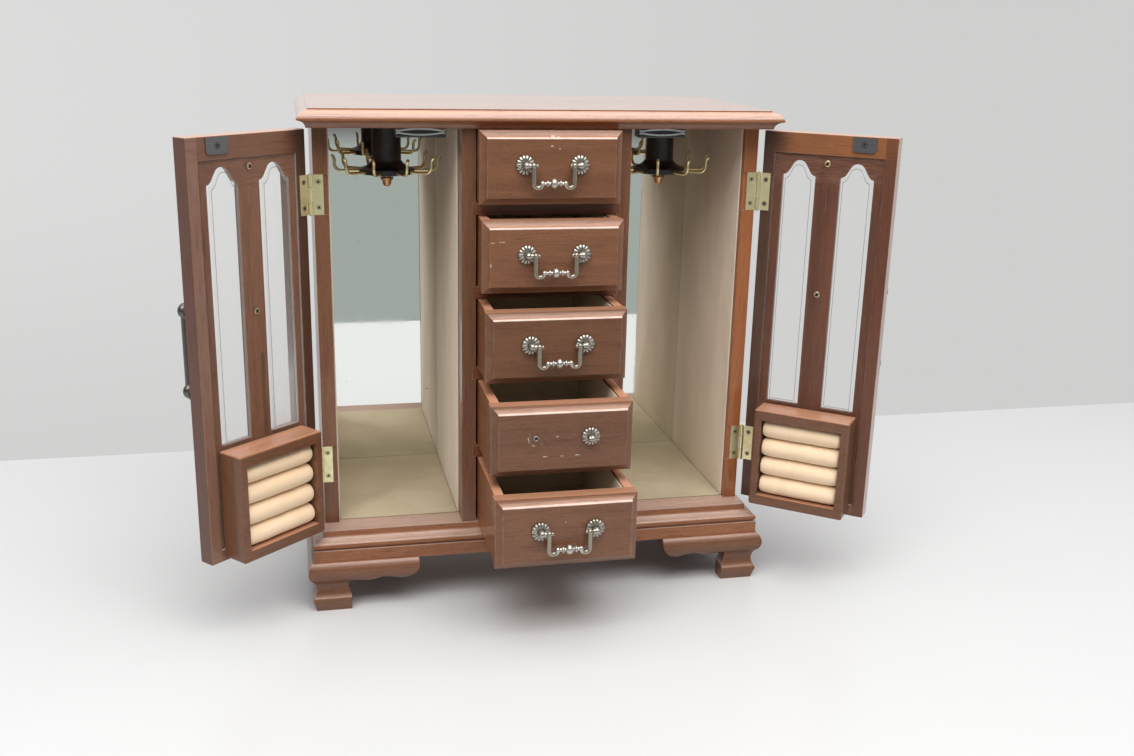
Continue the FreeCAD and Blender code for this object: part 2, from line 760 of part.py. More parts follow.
def bail(name):
    """A swan-neck bail hanging from pins on the X axis: stout arms, a stud at each elbow, a turned bar."""
    body = new_body(name)
    body.AllowCompound = True
    eye_inner = "(pull_centres / 2 - eye_reach)"
    elbow = "(bail_elbow_dia / 2)"
    arm = f"({eye_inner} - eye_clear - {elbow})"
    tip = f"({eye_inner} + bail_pin - bail_pin_gap)"
    half_bar = f"({arm} - 2 * bail_curl)"

    def turned(part, outline, rise="0"):
        half = new_sketch(body, f"{name}_{part}_half", "XZ", rise=rise)
        trace(half, outline)
        spin = body.newObject("PartDesign::Revolution", f"{name}_{part}")
        spin.Profile = half
        spin.ReferenceAxis = (half, ["H_Axis"])
        spin.Angle = FULL_TURN
        return spin

    def ball(part, middle, radius):
        ends = [(f"{middle} - {radius}", "0", 0), (f"{middle} + {radius}", "0", QUARTER_SHARE)]
        return turned(part, ends + [(middle, radius, QUARTER_SHARE)])

    path = [
        (f"-{arm}", "0", 0),
        (f"-{arm}", "-bail_drop", QUARTER_SHARE),
        (f"-({arm} - bail_curl)", "-(bail_drop + bail_curl)", QUARTER_SHARE),
        (f"-{half_bar}", "-bail_drop", 0),
    ]
    one_arm = [
        turned("pin", rectangle((f"-{tip}", f"-{arm}"), ("0", "bail_wire / 2"))),
        ball("elbow", f"-{arm}", elbow),
        ball("stud", f"-({arm} - bail_stud_reach)", "(bail_stud_dia / 2)"),
        swept(body, name + "_arm", "XZ", path, "XY", "0", "bail_arm_dia / 2", f"-{arm}", "0"),
    ]
    pair = body.newObject("PartDesign::Mirrored", name + "_arms")
    pair.Originals = one_arm
    pair.MirrorPlane = (origin_part(body, "YZ_Plane"), [""])
    body.Tip = pair
    end = [(f"{a} * {half_bar}", f"{b} * bail_bead_dia / 2", bulge) for a, b, bulge in BAR_SHARES]
    body.Tip = turned("bar", end + mirrored(end), "-bail_drop")
    return body


def build_drawer(number_down):
    """One drawer with its pull, drawn out as far as its own size says."""
    name = f"drawer_{number_down}"
    level = f"({BASE_TOP} + {DRAWERS - number_down} * {DRAWER_PITCH} + drawer_lift)"
    y = f"({CENTRE_FRONT} + front_thick - {name}_out)"
    node(place(drawer_front(name + "_front"), y=y, z=level), name + "_front")
    node(place(drawer_box(name + "_box"), y=y, z=level), name + "_box")
    pull_z = f"{level} + {FRONT_HEIGHT} / 2 + pull_rise"
    has_bail = name not in DRAWERS_WITHOUT_BAIL
    kept = SIDES if has_bail else {"right": SIDES["right"]}
    rosettes = [rosette(f"{name}_{which}_rosette", side) for which, side in kept.items()]
    pair = group(name + "_rosettes", rosettes)
    node(place(pair, y=f"{y} - {FIELD}", z=pull_z), name + "_rosettes")
    if has_bail:
        hung = place(bail(name + "_bail"), y=f"{y} - {FIELD} - eye_forward", z=pull_z)
        node(hung, name + "_bail")


def light(name, middle, y):
    """The space of one light: square foot, hollow shoulders, round crown."""
    along, up = ARCH_SHOULDER_SHARES
    sill = f"({DOOR_FOOT} + pane_sill)"
    shoulder = f"({DOOR_HEAD} - pane_head - pane_arch)"
    bend = f"({shoulder} + {up} * pane_arch)"
    outline = [
        (f"{middle} - {LIGHT_HALF}", sill, 0),
        (f"{middle} + {LIGHT_HALF}", sill, 0),
        (f"{middle} + {LIGHT_HALF}", shoulder, ARCH_SHOULDER_BULGE_SHARE),
        (f"{middle} + {along} * {LIGHT_HALF}", bend, ARCH_CROWN_BULGE_SHARE),
        (f"{middle} - {along} * {LIGHT_HALF}", bend, ARCH_SHOULDER_BULGE_SHARE),
        (f"{middle} - {LIGHT_HALF}", shoulder, 0),
    ]
    return prism(name, "XZ", outline, *y)


def bow_pull(name):
    """A cast pull on the outer face: two turned ends joined by a bow."""
    body = new_body(name + "_bow")
    half = "(bow_centres / 2)"
    path = [
        ("0", half, 0),
        ("-(bow_stand - bow_bend)", half, QUARTER_SHARE),
        ("-bow_stand", f"{half} - bow_bend", 0),
        ("-bow_stand", f"-{half} + bow_bend", QUARTER_SHARE),
        ("-(bow_stand - bow_bend)", f"-{half}", 0),
        ("0", f"-{half}", 0),
    ]
    swept(body, name + "_grip", "YZ", path, "XZ", "0", "bow_wire / 2", "0", half)
    turned = [("0", "0", 0)]
    turned += [(f"{o} * bow_end_dia / 2", f"-{u} * bow_end_length", bulge) for o, u, bulge in BOW_END_SHARES]
    ends = [
        place(revolved(name + "_upper_end", "XY", turned), z=half),
        place(revolved(name + "_lower_end", "XY", turned), z=f"-{half}"),
    ]
    return fuse(name, [body] + ends)


def build_door(name, side, angle):
    """One door with everything fixed to it, drawn about its hinge axis and then swung open."""
    inward = -side
    hinge_x = f"{side} * ({HALF} + {AXIS_OUT})"

    def along(low, high):
        return toward(inward, low, high)

    def hang(piece, part):
        node(place(piece, hinge_x, AXIS_Y, "0", f"{side} * {angle}"), f"{name}_{part}")

    face = rectangle(along(AXIS_OUT, DOOR_FREE), (DOOR_FOOT, DOOR_HEAD))
    frame = prism(name + "_frame_board", "XZ", face, DOOR_OUTER, DOOR_INNER)
    eased(frame, "door_edge_round", lambda edge: True)
    rabbet_x = (f"{AXIS_OUT} + door_stile", f"{DOOR_FREE} - door_stile")
    rabbet_z = (f"{DOOR_FOOT} + door_bottom_rail", f"{DOOR_HEAD} - door_top_rail")
    fret_outer = f"({DOOR_INNER} - fret_thick - sheet_thick)"
    fret_inner = f"({DOOR_INNER} - sheet_thick)"
    tools = [
        block(name + "_rabbet_tool", along(*rabbet_x), (fret_outer, f"{DOOR_INNER} + overrun"), rabbet_z),
        block(
            name + "_frame_hole",
            along(f"{rabbet_x[0]} + rabbet_ledge", f"{rabbet_x[1]} - rabbet_ledge"),
            (f"{DOOR_OUTER} - overrun", f"{DOOR_INNER} + overrun"),
            (f"{rabbet_z[0]} + rabbet_ledge", f"{rabbet_z[1]} - rabbet_ledge"),
        ),
    ]
    hang(cut(name + "_frame", frame, [fuse(name + "_frame_tools", tools)]), "frame")

    panel_x = along(f"{rabbet_x[0]} + fret_play", f"{rabbet_x[1]} - fret_play")
    panel_z = (f"{rabbet_z[0]} + fret_play", f"{rabbet_z[1]} - fret_play")
    panel = block(name + "_fret_board", panel_x, (fret_outer, fret_inner), panel_z)
    light_y = (f"{fret_outer} - overrun", f"{fret_inner} + overrun")
    middle = f"{inward} * {DOOR_MIDDLE}"
    lights = [
        light(name + "_left_light", f"({middle} - {LIGHT_MIDDLE})", light_y),
        light(name + "_right_light", f"({middle} + {LIGHT_MIDDLE})", light_y),
    ]
    hang(cut(name + "_fret_panel", panel, lights), "fret_panel")
    sheet = block(name + "_clear_board", panel_x, (fret_inner, DOOR_INNER), panel_z)
    hang(group(name + "_clear_sheet", [sheet]), "clear_sheet")

    build_ring_box(name, along, hang)

    strike_x = (f"{DOOR_FREE} - strike_margin - strike_length", f"{DOOR_FREE} - strike_margin")
    strike_low = f"({DOOR_HEAD} - strike_drop - strike_height)"
    left, right = along(*strike_x)
    strike = [
        (f"{left} + strike_round", strike_low, 0),
        (f"{right} - strike_round", strike_low, QUARTER_SHARE),
        (right, f"{strike_low} + strike_round", 0),
        (right, f"{strike_low} + strike_height", 0),
        (left, f"{strike_low} + strike_height", 0),
        (left, f"{strike_low} + strike_round", QUARTER_SHARE),
    ]
    hang(prism(name + "_strike", "XZ", strike, DOOR_INNER, f"{DOOR_INNER} + strike_thick"), "strike")

    pull_x = f"{inward} * ({DOOR_FREE} - bow_margin)"
    pull_z = f"({DOOR_FOOT} + {DOOR_HEAD}) / 2 + bow_rise"
    pull = place(bow_pull(name + "_bow_pull"), pull_x, DOOR_OUTER, pull_z)
    hang(group(name + "_pull", [pull]), "pull")

    leaves = []
    for end, level in HINGE_LEVELS.items():
        tag = f"{name}_{end}"
        leaf_y = (DOOR_INNER, f"{DOOR_INNER} + leaf_thick")
        plate_z = (f"{level} - hinge_height / 2", f"{level} + hinge_height / 2")
        middle_half = "(hinge_height / 2 - knuckle_length - knuckle_end_gap)"
        knuckle_z = (f"{level} - {middle_half}", f"{level} + {middle_half}")
        pieces = [
            block(tag + "_plate", along(AXIS_OUT, f"{AXIS_OUT} + leaf_width"), leaf_y, plate_z),
            block(tag + "_tab", along("0", AXIS_OUT), leaf_y, knuckle_z),
            rod(tag + "_knuckle", "knuckle_dia / 2", *knuckle_z),
        ]
        bore = rod(tag + "_bore", "pin_dia / 2 + pin_fit", *plate_z)
        leaves.append(cut(tag + "_leaf", fuse(tag + "_leaf_solid", pieces), [bore]))
    hang(group(name + "_leaves", leaves), "hinge_leaves")


def build_ring_box(name, along, hang):
    """The box of velvet ring rolls low on a door's inner face."""
    box_x = (f"({AXIS_OUT} + ring_box_hinge_margin)", f"({DOOR_FREE} - ring_box_free_margin)")
    box_z = (f"({DOOR_FOOT} + ring_box_sill)", f"({DOOR_FOOT} + ring_box_sill + ring_box_height)")
    box_y = (DOOR_INNER, f"({DOOR_INNER} + {RING_BOX_DEPTH})")
    clear_of_back = number(DOOR_INNER) + number("overrun")
    box = prism(name + "_ring_block", "XZ", rectangle(along(*box_x), box_z), *box_y)
    eased(box, "ring_box_round", lambda edge: edge.BoundBox.YMax > clear_of_back)
    hollow_x = (f"({box_x[0]} + ring_box_side)", f"({box_x[1]} - ring_box_side)")
    hollow_z = (f"({box_z[0]} + ring_box_rail)", f"({box_z[1]} - ring_box_rail)")
    hollow_y = (f"{DOOR_INNER} + ring_box_back", f"{box_y[1]} + overrun")
    hollow = block(name + "_ring_hollow", along(*hollow_x), hollow_y, hollow_z)
    hang(cut(name + "_ring_box", box, [hollow]), "ring_box")

    half_length = f"(({hollow_x[1]} - {hollow_x[0]}) / 2 - roll_play)"
    low, high = along(*hollow_x)
    rolls = []
    for i in range(RING_ROLLS):
        half = [
            (f"-{half_length}", "0", 0),
            (half_length, "0", 0),
            (half_length, f"{ROLL_FLAT_SHARE} * {ROLL_RADIUS}", ROLL_END_BULGE_SHARE),
            (f"{half_length} - roll_end_dome", ROLL_RADIUS, 0),
            (f"-({half_length} - roll_end_dome)", ROLL_RADIUS, ROLL_END_BULGE_SHARE),
            (f"-{half_length}", f"{ROLL_FLAT_SHARE} * {ROLL_RADIUS}", 0),
        ]
        roll = revolved(f"{name}_roll_{i + 1}", "XY", half, "H_Axis")
        roll_y = f"{box_y[1]} - roll_setback - {ROLL_RADIUS}"
        roll_z = f"{hollow_z[0]} + {(2 * i + 1)} * {ROLL_PITCH} / 2"
        rolls.append(place(roll, f"(({low}) + ({high})) / 2", roll_y, roll_z))
    hang(group(name + "_rolls", rolls), "ring_rolls")


def build_case_hinges():
    """The hinge leaves let into the sides, and the pins of the hinges."""
    leaves = []
    pins = []
    for name, side in SIDES.items():
        axis_x = f"{side} * ({HALF} + {AXIS_OUT})"
        leaf_y = (FRONT, f"{FRONT} + leaf_thick")
        for end, level in HINGE_LEVELS.items():
            tag = f"{name}_{end}_case"
            low = f"({level} - hinge_height / 2)"
            high = f"({level} + hinge_height / 2)"
            knuckles = {"foot": (low, f"{low} + knuckle_length"), "head": (f"{high} - knuckle_length", high)}
            pieces = [block(tag + "_plate", toward(side, f"{HALF} - leaf_width", HALF), leaf_y, (low, high))]
            for part, knuckle_z in knuckles.items():
                tab_x = toward(side, HALF, f"{HALF} + {AXIS_OUT}")
                pieces.append(block(f"{tag}_{part}_tab", tab_x, leaf_y, knuckle_z))
                pieces.append(rod(f"{tag}_{part}_knuckle", "knuckle_dia / 2", *knuckle_z, axis_x, AXIS_Y))
            bore = rod(tag + "_bore", "pin_dia / 2 + pin_fit", low, high, axis_x, AXIS_Y)
            leaves.append(cut(tag + "_leaf", fuse(tag + "_leaf_solid", pieces), [bore]))
            pin_z = (f"{low} - pin_end", f"{high} + pin_end")
            pins.append(rod(tag + "_pin", "pin_dia / 2", *pin_z, axis_x, AXIS_Y))
    node(group("case_hinge_leaves", leaves), "case_hinge_leaves")
    node(group("hinge_pins", pins), "hinge_pins")


def build_catches():
    """The catch housings under the top, each in line with the strike of its closed door."""
    under_top = number(CASE_TOP) - number("catch_round")
    housings = []
    for name, side in SIDES.items():
        middle = f"{side} * ({HALF} - {DOOR_WIDTH} + strike_margin + strike_length / 2)"
        plan = rectangle(
            (f"{middle} - catch_length / 2", f"{middle} + catch_length / 2"),
            (f"{FRONT} + catch_gap", f"{FRONT} + catch_gap + catch_depth"),
        )
        housing = prism(name + "_catch", "XY", plan, f"{CASE_TOP} - catch_height", CASE_TOP)
        housings.append(eased(housing, "catch_round", lambda edge: edge.BoundBox.ZMin < under_top))
    node(group("catches", housings), "catches")


def build_carousels():
    """The necklace carousels: posts fixed under the top, hubs that turn on them, and hooks."""
    y = f"(({FRONT} + {MIRROR_FRONT}) / 2)"
    neck = "(-hub_gap - hub_height)"
    rim_top = f"({neck} - hub_flare)"
    rim_foot = f"({rim_top} - disc_rim)"
    rim_middle = f"({rim_top} - disc_rim / 2)"
    tail = f"({rim_foot} - hub_tail)"
    shoulder = f"({tail} - finial_gap)"
    bore = "(carousel_post_dia / 2 + post_fit)"
    seat = "(disc_dia / 2 - hook_seat)"
    end = f"({BAY_HALF} - hook_wall_gap)"
    upright = f"({end} - hook_flare)"
    posts = []
    for name, side in SIDES.items():
        x = f"{side} * {BAY_MIDDLE}"
        tip = [
            (f"{o} * finial_dia / 2", f"{shoulder} - ({1 - u}) * finial_height", bulge)
            for o, u, bulge in FINIAL_SHARES
        ]
        shaft = [("carousel_post_dia / 2", shoulder, 0), ("carousel_post_dia / 2", "0", 0), ("0", "0", 0)]
        posts.append(place(revolved(name + "_post", "XZ", tip + shaft), x, y, CASE_TOP))

        half = [
            (bore, tail, 0),
            ("hub_tail_dia / 2", tail, 0),
            ("disc_dia / 2", rim_foot, 0),
            ("disc_dia / 2", rim_top, HUB_FLARE_BULGE_SHARE),
            ("hub_dia / 2", neck, 0),
            ("hub_dia / 2", "-hub_gap", 0),
            (bore, "-hub_gap", 0),
        ]
        hub = revolved(name + "_hub", "XZ", half)
        hole = new_sketch(hub, name + "_hub_seat", "YZ", seat)
        trace_circle(hole, "hook_wire / 2 + hook_fit", "0", rim_middle)
        pocket = hub.newObject("PartDesign::Pocket", name + "_hub_hole")
        pocket.Profile = hole
        pocket.Reversed = True
        bind(pocket, "Length", "hook_seat + overrun")
        ringed(hub, pocket, name + "_hub_holes", HOOKS)
        node(place(hub, x, y, CASE_TOP), name + "_carousel_hub")

        hooks = new_body(name + "_hooks")
        hooks.AllowCompound = True
        path = [
            (f"{seat} + hook_end_gap", "0", 0),
            (f"{upright} - hook_bend", "0", QUARTER_SHARE),
            (upright, "hook_bend", 0),
            (upright, "hook_bend + hook_straight", -QUARTER_SHARE / 2),
            (end, "hook_bend + hook_straight + hook_tip", 0),
        ]
        hook = swept(hooks, name + "_hook", "XZ", path, "YZ", path[0][0], "hook_wire / 2")
        ringed(hooks, hook, name + "_hook_ring", HOOKS)
        node(place(hooks, x, y, f"{CASE_TOP} + {rim_middle}"), name + "_carousel_hooks")
    node(group("carousel_posts", posts), "carousel_posts")


moulded_board("top_board", TOP_EDGE_SHARES, "top_projection", CASE_TOP, "top_thick")
moulded_board("base_board", BASE_EDGE_SHARES, "base_projection", FRAME_TOP, "base_board_thick")
build_base_frame()
for side_name, side_sign in SIDES.items():
    build_foot(f"front_{side_name}_foot", side_sign, False)
    build_foot(f"back_{side_name}_foot", side_sign, True)
    build_side(side_name, side_sign)
    build_partition(side_name, side_sign)
build_bays()
build_dividers()
build_case_hinges()
build_catches()
build_carousels()
for side_name, side_sign in SIDES.items():
    build_door(f"{side_name}_door", side_sign, f"{side_name}_door_angle")
for drawer_number in range(1, DRAWERS + 1):
    build_drawer(drawer_number)

doc.recompute()
for item in doc.Objects:
    if "Invalid" in item.State or "Error" in item.State:
        raise RuntimeError(f"{item.Label} did not compute: {item.State}")
for item in NODES:
    if item.Shape.isNull() or not item.Shape.isValid():
        raise RuntimeError(f"{item.Label} has no valid shape")
os.makedirs("parts", exist_ok=True)
for item in NODES:
    item.Shape.exportStep(f"parts/{item.Label}.step")
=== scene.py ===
# %% [markdown]
# A breakfront jewelry chest, dressed for its portrait.
# The joinery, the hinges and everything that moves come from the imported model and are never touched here.
# This lesson gives each board, cloth and metal its finish, and makes the small soft or ornamental pieces
# that a maker adds last: velvet, fluted rosettes, screws, the doors' frets and their etched lines, and the
# catches' steel poles.

import json
import math

import bmesh
import bpy
import numpy as np
from mathutils import Matrix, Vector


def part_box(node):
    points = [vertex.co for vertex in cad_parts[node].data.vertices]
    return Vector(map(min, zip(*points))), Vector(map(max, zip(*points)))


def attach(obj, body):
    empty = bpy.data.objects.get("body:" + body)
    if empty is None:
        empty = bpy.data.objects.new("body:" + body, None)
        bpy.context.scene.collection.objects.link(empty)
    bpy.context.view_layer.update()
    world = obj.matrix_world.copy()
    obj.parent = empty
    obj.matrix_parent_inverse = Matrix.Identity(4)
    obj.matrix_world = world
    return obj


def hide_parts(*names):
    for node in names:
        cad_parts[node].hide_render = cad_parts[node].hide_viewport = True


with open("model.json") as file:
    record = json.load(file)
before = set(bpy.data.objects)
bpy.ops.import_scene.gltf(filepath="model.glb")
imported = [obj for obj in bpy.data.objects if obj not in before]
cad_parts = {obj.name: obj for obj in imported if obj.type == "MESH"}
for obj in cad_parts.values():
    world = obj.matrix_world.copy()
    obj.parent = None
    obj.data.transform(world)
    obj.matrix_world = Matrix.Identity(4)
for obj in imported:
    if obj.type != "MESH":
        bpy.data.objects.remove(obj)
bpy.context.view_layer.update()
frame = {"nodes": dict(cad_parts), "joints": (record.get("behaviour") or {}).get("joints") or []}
NODES = frame["nodes"]
JOINTS = {joint["name"]: joint for joint in frame["joints"]}
MM = 0.001
SIDES = {"left": -1, "right": 1}
DRAWERS = range(1, 6)

# %% [markdown]
# The camera comes first, because every later choice is judged through it. Its place and its three angles
# were solved from the chest's straight edges. A camera looks along its own minus Z with its Y upwards, so
# its axes are the columns of a rotation matrix: right, up, and the view direction turned round.

# %% Camera
PHOTO_WIDTH = 1134
FOCAL_PIXELS = 1214.3
SENSOR_WIDTH = 36.0
CAMERA_PLACE = np.array([-0.1745, -0.8608, 0.4226])
YAW, PITCH, ROLL = np.radians([12.96, 16.54, -1.35])

forward = np.array([math.sin(YAW) * math.cos(PITCH), math.cos(YAW) * math.cos(PITCH), -math.sin(PITCH)])
level_right = np.array([math.cos(YAW), -math.sin(YAW), 0.0])
level_down = np.cross(forward, level_right)
right = math.cos(ROLL) * level_right + math.sin(ROLL) * level_down
down = math.cos(ROLL) * level_down - math.sin(ROLL) * level_right
camera_data = bpy.data.cameras.new("portrait_camera")
camera_data.sensor_width = SENSOR_WIDTH
camera_data.lens = FOCAL_PIXELS * SENSOR_WIDTH / PHOTO_WIDTH
camera = bpy.data.objects.new("portrait_camera", camera_data)
bpy.context.scene.collection.objects.link(camera)
camera_axes = Matrix(np.column_stack([right, -down, -forward]).tolist()).to_4x4()
camera.matrix_world = Matrix.Translation(CAMERA_PLACE.tolist()) @ camera_axes
bpy.context.scene.camera = camera
print("lens", round(camera_data.lens, 2), "mm")

# %% [markdown]
# Shader maths reads best as ordinary arithmetic. A Wire is one output of a node, and Python's operators on
# it add Math nodes. Any other node comes from Shader.node, which takes the node's type, its settings and
# what goes into its sockets. Colours pass through Mix, because a Math node would turn them grey.


# %% Shader arithmetic
def math_node(operation, swapped=False):
    """A method of Wire that adds one Math node; swapped puts the other value first."""

    def method(wire, other=0.0):
        first, second = (other, wire) if swapped else (wire, other)
        return wire.shader.node("Math", {"operation": operation}, {0: first, 1: second})

    return method


class Wire:
    """One output of a shader node; arithmetic on it adds Math nodes and gives a new Wire."""

    def __init__(self, shader, socket):
        self.shader = shader
        self.socket = socket

    __add__ = __radd__ = math_node("ADD")
    __mul__ = __rmul__ = math_node("MULTIPLY")
    __sub__, __rsub__ = math_node("SUBTRACT"), math_node("SUBTRACT", swapped=True)
    __truediv__, __abs__ = math_node("DIVIDE"), math_node("ABSOLUTE")
    upper, power = math_node("MAXIMUM"), math_node("POWER")

    def rise(self, low, high):
        """0 below low, 1 above high, and an S-shaped step between them; high below low falls instead."""
        if high < low:
            return 1.0 - self.rise(high, low)
        settings = {"interpolation_type": "SMOOTHSTEP"}
        return self.shader.node("MapRange", settings, {"Value": self, "From Min": low, "From Max": high})


class Shader:
    """The nodes of one material or of the world."""

    def __init__(self, owner):
        owner.use_nodes = True
        self.owner = owner
        self.tree = owner.node_tree
        self.tree.nodes.clear()

    def node(self, kind, settings=None, sockets=None, output=0):
        """Adds one node of that kind: settings first, then the value or link of each named socket."""
        made = self.tree.nodes.new("ShaderNode" + kind)
        for name, value in (settings or {}).items():
            setattr(made, name, value)
        for name, value in (sockets or {}).items():
            if isinstance(value, Wire):
                self.tree.links.new(value.socket, made.inputs[name])
            else:
                made.inputs[name].default_value = value
        return Wire(self, made.outputs[output]) if made.outputs else made

    def mix(self, factor, first, second):
        """The colour that goes from first to second as factor goes from 0 to 1."""
        settings = {"data_type": "RGBA", "clamp_factor": True}
        return self.node("Mix", settings, {0: factor, 6: solid(first), 7: solid(second)}, 2)

    def place(self, turn=0.0, shift=(0, 0, 0)):
        """Points of the piece, turned about the vertical and then moved."""
        points = self.node("TexCoord", output="Object")
        return self.node("Mapping", None, {"Vector": points, "Rotation": (0, 0, turn), "Location": shift})

    def noise(self, points, scale, detail=2.0, roughness=0.5, distortion=0.0):
        """Cloudy noise from 0 to 1; scale is one number, or three for streaks along the smallest."""
        if not isinstance(scale, (int, float)):
            points = self.node("VectorMath", {"operation": "MULTIPLY"}, {0: points, 1: scale})
            scale = 1.0
        sockets = {"Vector": points, "Scale": scale, "Detail": detail}
        sockets.update({"Roughness": roughness, "Distortion": distortion})
        return self.node("TexNoise", None, sockets)

    def attribute(self, name):
        """A number that the piece carries at each of its points."""
        return self.node("Attribute", {"attribute_name": name}, None, "Fac")

    def openness(self, distance):
        """1 in the open and less in a hollow, as far as the distance reaches."""
        return self.node("AmbientOcclusion", {"samples": 8}, {"Distance": distance}, "AO")

    def part(self, points, axis):
        """One coordinate of a point."""
        return self.node("SeparateXYZ", None, {"Vector": points}, axis)

    def bump(self, height, distance, strength):
        """A normal that leans as if the surface rose by height times distance."""
        return self.node("Bump", None, {"Strength": strength, "Distance": distance, "Height": height})

    def show(self, surface=None, **sockets):
        """Sends a Principled shader, with these sockets set, to the material's output."""
        if surface is None:
            named = {name.replace("_", " "): value for name, value in sockets.items()}
            surface = self.node("BsdfPrincipled", None, named)
        self.node("OutputMaterial", None, {"Surface": surface})
        return self.owner


def solid(colour):
    """A colour with its alpha, or the Wire that carries one."""
    return colour if isinstance(colour, Wire) else (*colour[:3], 1.0)


def new_finish(name, turn=0.0, shift=(0, 0, 0)):
    """The shader of a new material, and the points of its piece, turned about the vertical and moved."""
    shader = Shader(bpy.data.materials.new(name))
    return shader, shader.place(turn, shift)


print("shader arithmetic ready")

# %% [markdown]
# The chest stands on a plain pale table in a light grey room. The table ends behind the chest, and also
# in front of it, where the mirrors see its edge. The room is the world: rays that reach the eye, straight
# or by way of a mirror or a pane, see its greys, darker high up in front, and all other rays see a soft
# light that is stronger from above.

# %% Meshes from arrays
WELD_DISTANCE = 1e-6
CORNER_STEPS, LEAST_ROUND = 6, 0.25


def lattice(rows, columns, wrap_rows):
    """Four-cornered faces, as point numbers, of a grid of closed rows; the last row may join the first."""
    i = np.arange(rows if wrap_rows else rows - 1)[:, None]
    j = np.arange(columns)[None, :]
    below, beside = (i + 1) % rows, (j + 1) % columns
    corners = [i * columns + j, i * columns + beside, below * columns + beside, below * columns + j]
    return np.stack(corners, axis=-1).reshape(-1, 4)


def surface_piece(name, grids, finish, wrap_rows=False, crease=35.0, values=None):
    """One object from grids of points, each (rows, columns, 3) in metres, with seams and poles closed.

    values, if given, is a pair: an attribute's name and one number for each point of the grids.
    """
    points, faces, start = [], [], 0
    for grid in grids:
        rows, columns = grid.shape[:2]
        points.append(grid.reshape(-1, 3))
        faces.append(lattice(rows, columns, wrap_rows) + start)
        start += rows * columns
    mesh = bpy.data.meshes.new(name)
    mesh.from_pydata(np.concatenate(points).tolist(), [], np.concatenate(faces).tolist())
    if values:
        layer = mesh.attributes.new(values[0], "FLOAT", "POINT")
        layer.data.foreach_set("value", np.concatenate([v.ravel() for v in values[1]]).astype(np.float32))
    work = bmesh.new()
    work.from_mesh(mesh)
    bmesh.ops.remove_doubles(work, verts=work.verts, dist=WELD_DISTANCE)
    bmesh.ops.recalc_face_normals(work, faces=work.faces)
    work.to_mesh(mesh)
    work.free()
    mesh.polygons.foreach_set("use_smooth", np.ones(len(mesh.polygons), bool))
    mesh.set_sharp_from_angle(angle=math.radians(crease))
    mesh.materials.append(finish)
    piece = bpy.data.objects.new(name, mesh)
    bpy.context.scene.collection.objects.link(piece)
    return piece


def around(steps):
    """Angles once round a circle, as one row."""
    return np.linspace(0, 2 * math.pi, steps, endpoint=False)[None, :]


def lathe(reach, height, turn):
    """Points about Z, from their distances to it, their heights and their angles."""
    return np.stack(np.broadcast_arrays(reach * np.cos(turn), reach * np.sin(turn), height), axis=-1)


def rounded_ring(half_x, half_y, corner):
    """A rectangle with round corners: in each quarter, the corner's centre plus a quarter circle."""
    turn = np.linspace(0, math.pi / 2, CORNER_STEPS)[None, :] + np.arange(4)[:, None] * math.pi / 2
    middle = turn.mean(axis=1, keepdims=True)
    x = np.sign(np.cos(middle)) * (half_x - corner) + corner * np.cos(turn)
    y = np.sign(np.sin(middle)) * (half_y - corner) + corner * np.sin(turn)
    return np.stack([x.ravel(), y.ravel()], axis=-1)


def ring_stack(centre, half_x, half_y, corner, levels, order=(0, 1, 2)):
    """Rounded rectangles stacked along Z: each level is (inset, height), and None closes it to a pole.

    order says which axis of the chest takes the stack's X, Y and Z.
    """
    rings = []
    for inset, height in levels:
        if inset is None:
            ring = np.zeros_like(rounded_ring(half_x, half_y, corner))
        else:
            round_off = max(corner - inset, corner * LEAST_ROUND)
            ring = rounded_ring(half_x - inset, half_y - inset, round_off)
        rings.append(np.column_stack([ring, np.full(len(ring), height)]))
    stack = np.empty((len(rings), len(rings[0]), 3))
    stack[..., list(order)] = np.stack(rings)
    return stack + np.asarray(centre)


print("surface helpers ready")

# %% Table, room and lamps
TABLE_HALF_WIDTH = 1.6
TABLE_FRONT, TABLE_BACK = -0.60, 0.33
TABLE_THICK, TABLE_CORNER = 0.03, 0.004
TABLE_COLOUR = (0.665, 0.675, 0.685)
WALL_LEFT, WALL_RIGHT = (0.715, 0.715, 0.71), (0.625, 0.625, 0.62)
WALL_LOW_LEFT = (0.635, 0.635, 0.63)
ROOM_IN_FRONT, ROOM_ABOVE = (0.37, 0.40, 0.38), (0.17, 0.17, 0.17)
WINDOW = (1.05, 1.05, 1.03)
LOW_LIGHT, HIGH_LIGHT = (0.14, 0.14, 0.142), (0.52, 0.52, 0.525)
# where each change of the room's colour begins and ends, as parts of the view's direction
WALL_FOOT, WALL_SIDES, FRONT_TO_WALL = (-0.36, -0.10), (-0.25, 0.5), (-0.3, 0.3)
FRONT_LEVEL, WINDOW_SIDE, LIGHT_LEVELS = (-0.105, -0.085), (0.75, 0.95), (-0.1, 0.6)

table, points = new_finish("pale_table")
mottle = table.noise(points, 7.0, 3.0)
table_finish = table.show(
    Base_Color=table.mix(mottle, TABLE_COLOUR, [c * 0.97 for c in TABLE_COLOUR]),
    Roughness=0.30,
)
table_middle = (0.0, (TABLE_FRONT + TABLE_BACK) / 2, -TABLE_THICK)
table_levels = [(None, 0.0), (0.0, 0.0), (0.0, TABLE_THICK), (None, TABLE_THICK)]
table_half_depth = (TABLE_BACK - TABLE_FRONT) / 2
slab = ring_stack(table_middle, TABLE_HALF_WIDTH, table_half_depth, TABLE_CORNER, table_levels)
surface_piece("table", [slab], table_finish)

